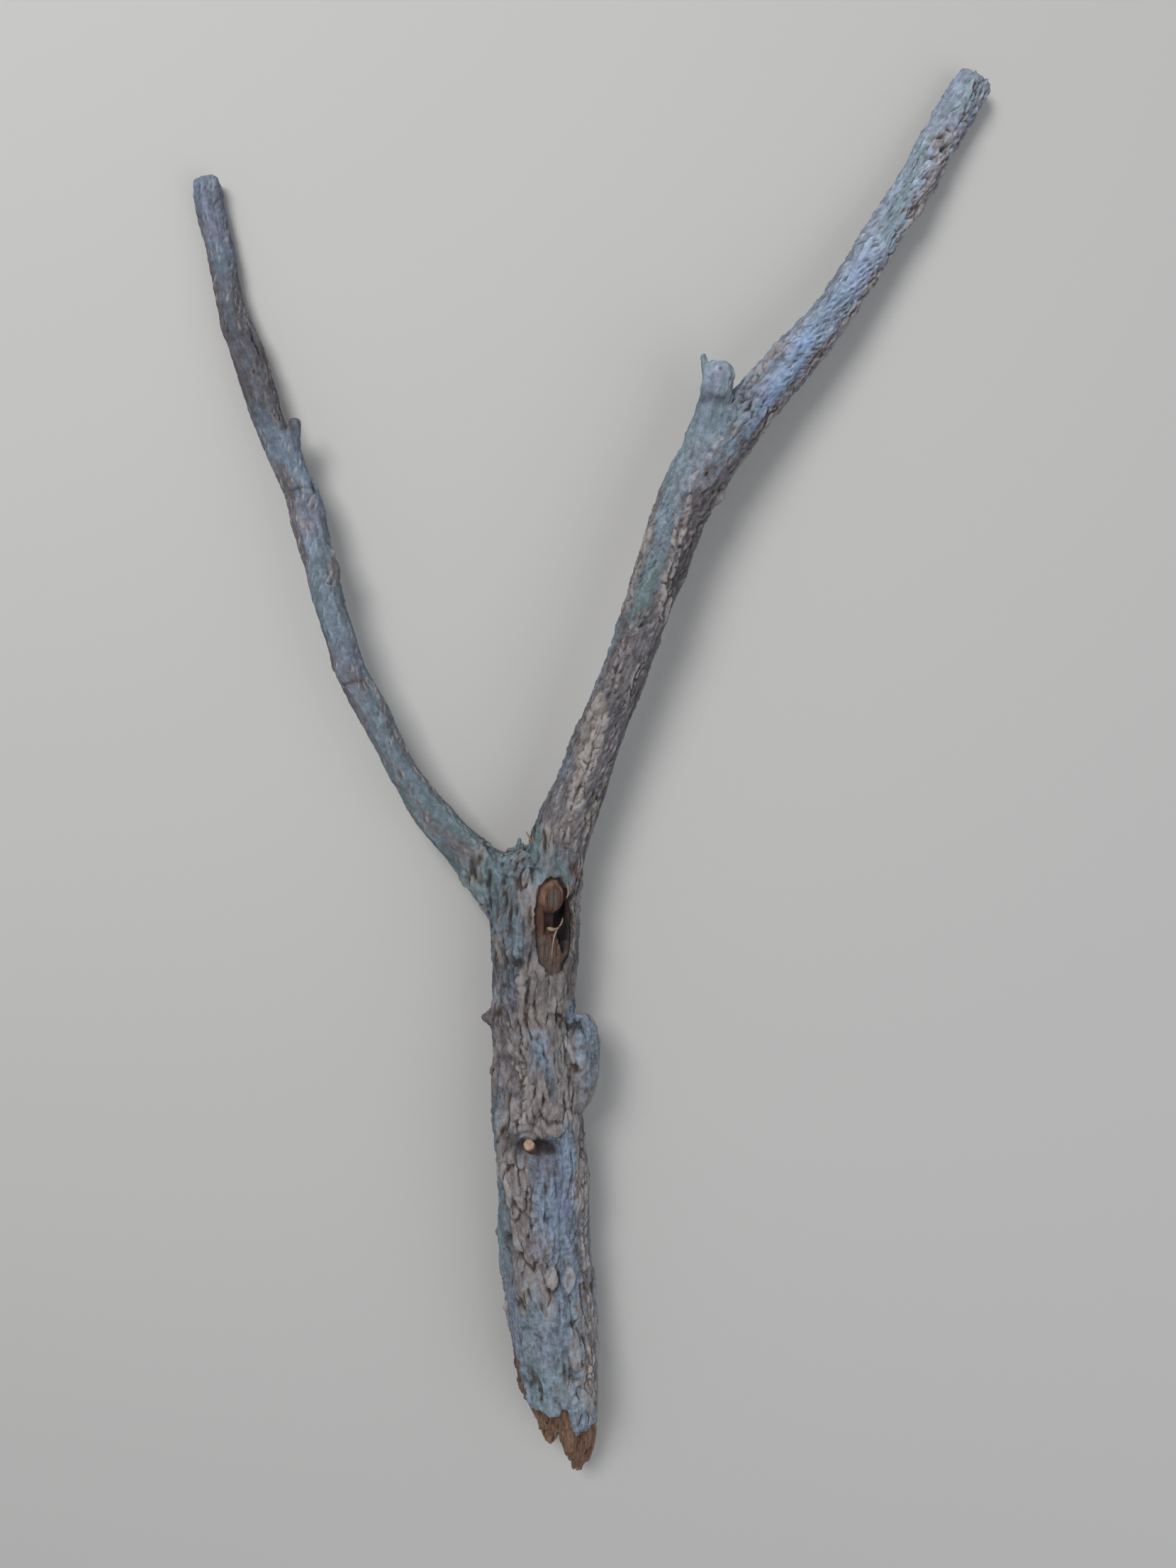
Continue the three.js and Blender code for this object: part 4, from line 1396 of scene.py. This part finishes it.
def new_group(name, colors):
    """A group with these colours as inputs, which puts out a colour, a roughness and a fine relief."""
    group = bpy.data.node_groups.new(name, "ShaderNodeTree")
    for label, shade in colors.items():
        socket = group.interface.new_socket(label, in_out="INPUT", socket_type="NodeSocketColor")
        socket.default_value = paint(*shade)
    for label, kind in (("Color", "Color"), ("Roughness", "Float"), ("Fine", "Float")):
        group.interface.new_socket(label, in_out="OUTPUT", socket_type="NodeSocket" + kind)
    return group, group.nodes.new("NodeGroupInput").outputs, group.nodes.new("NodeGroupOutput").inputs


def bark_group():
    """The colours of bark: cork and smooth bark under a film of lichen, with dirt in the cracks and painted
    shade in pits and beside flecks.
    """
    colors = {
        "Cork light": (170, 163, 160),
        "Cork dark": (114, 103, 100),
        "Bark light": (138, 133, 138),
        "Bark dark": (82, 76, 79),
        "Film pale": (142, 159, 178),
        "Film deep": (90, 101, 118),
        "Film lilac": (142, 142, 164),
        "Film green": (98, 120, 119),
        "Film blue": (118, 146, 182),
        "Crack": (60, 51, 48),
        "Crack red": (88, 64, 55),
        "Inner bark": (118, 88, 74),
    }
    group, given, result = new_group("bark_face", colors)
    place = node(group, "ShaderNodeTexCoord").outputs["Object"]
    grain = reading(group, "grain", vector=True)
    streaks = speckle(group, scaled(group, grain, 1, 1, 0.2), 0.6, detail=5, roughness=0.7)
    broad = speckle(group, scaled(group, grain, 1, 1, 0.35), 0.16, detail=2, roughness=0.5)
    blotches = speckle(group, place, 55, detail=3, roughness=0.55)
    mottle = speckle(group, place, 330, detail=4, roughness=0.65)
    grit = speckle(group, place, 1300, detail=2, roughness=0.6)

    lean = math_of(group, "MULTIPLY_ADD", streaks, 0.6, math_of(group, "MULTIPLY", mottle, 0.4))
    fine = reading(group, "fine")
    calm = swing(group, lean, fine, 0.5)
    tone = math_of(group, "MULTIPLY_ADD", reading(group, "tone"), 0.35, lean)
    cork = mix(group, span(group, tone, 0.42, 0.92), given["Cork dark"], given["Cork light"])
    smooth = mix(group, span(group, calm, 0.36, 0.64), given["Bark dark"], given["Bark light"])
    bare = mix(group, reading(group, "cork"), smooth, cork)

    cool = mix(group, span(group, blotches, 0.46, 0.6, 0.0, 0.85), given["Film pale"], given["Film lilac"])
    blue = mix(group, span(group, calm, 0.38, 0.62), given["Film deep"], cool)
    tinted = mix(group, reading(group, "green"), blue, given["Film green"])
    bluer = math_of(group, "MULTIPLY", reading(group, "green"), -1.0)
    tinted = mix(group, span(group, bluer, 0.0, 1.0, 0.0, 0.8), tinted, given["Film blue"])
    pale_green = mix(group, span(group, mottle, 0.45, 0.65, 0.0, 0.4), tinted, given["Film pale"])
    streaked = swing(group, streaks, 0.8, swing(group, mottle, 1.1))
    streaky = math_of(group, "MULTIPLY_ADD", streaked, fine, reading(group, "film"))
    covered = mix(group, span(group, streaky, 0.05, 1.0, 0.08, 0.85), bare, pale_green)
    inner = mix(group, span(group, lean, 0.38, 0.62), given["Crack red"], given["Inner bark"])
    covered = mix(group, reading(group, "red"), covered, inner)

    # The crack mask is dirt in the cracks and painted shade in pits and beside the flecks.
    dirt_and_shade_share = swing(group, grit, 0.5, reading(group, "crack"))
    dirt_and_shade = mix(group, span(group, blotches, 0.5, 0.66), given["Crack"], given["Crack red"])
    cracks_and_shade = mix(group, span(group, dirt_and_shade_share, 0.15, 1.0, 0.0, 0.9), covered, dirt_and_shade)
    # Painted shade in low places and lighter tops, partly wear and partly painted light.
    rub = span(group, reading(group, "rub"), 0.15, 0.95, 0.84, 1.1)
    patches = span(group, broad, 0.3, 0.7, 0.88, 1.1)
    light = math_of(group, "MULTIPLY", math_of(group, "MULTIPLY", rub, patches), reading(group, "light"))
    pepper = span(group, grit, 0.25, 0.75, 0.9, 1.08)
    shaded = mix(group, 1.0, cracks_and_shade, grey(group, math_of(group, "MULTIPLY", light, pepper)), "MULTIPLY")
    group.links.new(shaded, result["Color"])
    group.links.new(span(group, streaks, 0.2, 0.8, 0.82, 0.97), result["Roughness"])
    group.links.new(math_of(group, "MULTIPLY_ADD", grit, 0.5, lean), result["Fine"])
    return group


def wood_group():
    """Fibrous bare wood: streaks along the grain, painted shade where the deep mask is high, and paler where
    it is worn.
    """
    colors = {
        "Light": (148, 120, 101),
        "Middle": (118, 91, 75),
        "Dark": (76, 54, 45),
        "Worn": (150, 124, 104),
        "Weathered": (104, 96, 92),
        "Hollow shade": (30, 26, 26),
    }
    group, given, result = new_group("wood_face", colors)
    grain = reading(group, "grain", vector=True)
    strands = speckle(group, scaled(group, grain, 1, 0.07, 1), 0.9, detail=5, roughness=0.7)
    broad = speckle(group, scaled(group, grain, 1, 0.2, 1), 0.22, detail=2, roughness=0.5)
    tone = math_of(group, "MULTIPLY_ADD", reading(group, "tone"), 0.3, strands)
    low = mix(group, span(group, tone, 0.42, 0.62), given["Dark"], given["Middle"])
    plain = mix(group, span(group, tone, 0.62, 0.85), low, given["Light"])
    pale = mix(group, span(group, strands, 0.35, 0.65), given["Light"], given["Worn"])
    worn = mix(group, reading(group, "worn"), plain, pale)
    patchy = span(group, broad, 0.3, 0.6, 0.35, 1.0)
    weathered = mix(group, span(group, strands, 0.3, 0.6, 0.25, 1.0), given["Dark"], given["Weathered"])
    aged = mix(group, math_of(group, "MULTIPLY", reading(group, "weathered"), patchy), worn, weathered)
    # Painted shade: the deep mask lays the dark hollow shade colour over the wood.
    hollow = mix(group, span(group, reading(group, "deep"), 0.1, 0.95), aged, given["Hollow shade"])
    group.links.new(hollow, result["Color"])
    group.links.new(span(group, strands, 0.3, 0.7, 0.72, 0.92), result["Roughness"])
    group.links.new(strands, result["Fine"])
    return group


def face_material(name, face_group, colors, bump):
    """A material whose colour, roughness and fine relief come from one of the groups above."""
    material = bpy.data.materials.new(name)
    material.use_nodes = True
    tree = material.node_tree
    shader = tree.nodes["Principled BSDF"]
    shades = {label: paint(*shade) for label, shade in colors.items()}
    face = node(tree, "ShaderNodeGroup", shades, node_tree=face_group)
    relief = node(tree, "ShaderNodeBump", {"Height": face.outputs["Fine"], "Distance": bump, "Strength": 0.6})
    tree.links.new(face.outputs["Color"], shader.inputs["Base Color"])
    tree.links.new(face.outputs["Roughness"], shader.inputs["Roughness"])
    tree.links.new(relief.outputs["Normal"], shader.inputs["Normal"])
    shader.inputs["Specular IOR Level"].default_value = 0.25
    return material


KNOT_COLORS = {
    "Light": (120, 92, 76),
    "Middle": (90, 63, 52),
    "Dark": (56, 38, 33),
    "Worn": (144, 113, 94),
    "Weathered": (100, 90, 86),
    "Hollow shade": (34, 31, 34),
}
TWIG_COLORS = {"Light": (156, 126, 106), "Worn": (192, 162, 140)}
SLIVER_COLORS = {"Light": (132, 106, 90), "Worn": (182, 156, 138)}

bark_face = bark_group()
wood_face = wood_group()
corky_bark = face_material("corky_bark", bark_face, {}, 0.0003)
thin_bark = face_material("thin_bark", bark_face, {}, 0.0002)
torn_face = face_material("torn_wood", wood_face, {}, 0.0003)
knot_face = face_material("knot_wood", wood_face, KNOT_COLORS, 0.0003)
twig_face = face_material("twig_end", wood_face, TWIG_COLORS, 0.0002)
sliver_face = face_material("sliver", wood_face, SLIVER_COLORS, 0.0002)


def finish_piece(piece, material):
    piece.data.materials.clear()
    piece.data.materials.append(material)
    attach(piece, "root")


for bark_node, bark_piece in barks.items():
    thin = bark_node in ("left_limb", "broken_spur")
    finish_piece(bark_piece, thin_bark if thin else corky_bark)
    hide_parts(bark_node)
finish_piece(crotch_tuft, corky_bark)
for piece, material in (
    (torn_wood, torn_face),
    (knot_wood, knot_face),
    (snapped_twig, twig_face),
    (knot_slivers, sliver_face),
    (foot_slivers, torn_face),
    (crotch_slivers, sliver_face),
):
    finish_piece(piece, material)

# ---- Floor, light and camera
# A wide lens, in mm. It stands in metres, and tilts a little away from straight down.
LENS = 27.06
EYE = (0.0, 0.084, 0.555)
TILT = math.radians(-7.12)


def make_floor():
    bpy.ops.mesh.primitive_plane_add(size=6, location=(0, 0, 0))
    floor = bpy.context.object
    floor.name = "floor"
    material = bpy.data.materials.new("pale_floor")
    material.use_nodes = True
    shader = material.node_tree.nodes["Principled BSDF"]
    shader.inputs["Base Color"].default_value = (0.56, 0.555, 0.545, 1)
    shader.inputs["Roughness"].default_value = 0.9
    floor.data.materials.append(material)


def add_area(name, place, size, power, tint):
    light = bpy.data.lights.new(name, "AREA")
    light.size = size
    light.energy = power
    light.color = tint
    lamp = bpy.data.objects.new(name, light)
    bpy.context.collection.objects.link(lamp)
    lamp.location = place
    lamp.rotation_euler = (-Vector(place)).to_track_quat("-Z", "Y").to_euler()


def make_lights():
    world = bpy.data.worlds.new("soft_sky")
    bpy.context.scene.world = world
    world.use_nodes = True
    background = world.node_tree.nodes["Background"]
    background.inputs["Color"].default_value = (0.93, 0.96, 1.0, 1)
    background.inputs["Strength"].default_value = 0.29
    add_area("key", (-0.55, 0.85, 1.35), 0.7, 17, (1.0, 0.99, 0.97))
    add_area("fill", (0.9, -0.5, 1.1), 1.2, 5.5, (0.95, 0.97, 1.0))


def make_camera():
    camera = bpy.data.cameras.new("camera")
    camera.lens = LENS
    camera.sensor_width = 36
    eye = bpy.data.objects.new("camera", camera)
    bpy.context.collection.objects.link(eye)
    eye.location = EYE
    eye.rotation_euler = (TILT, 0, 0)
    bpy.context.scene.camera = eye
    bpy.context.scene.view_settings.view_transform = "Standard"


make_floor()
make_lights()
make_camera()
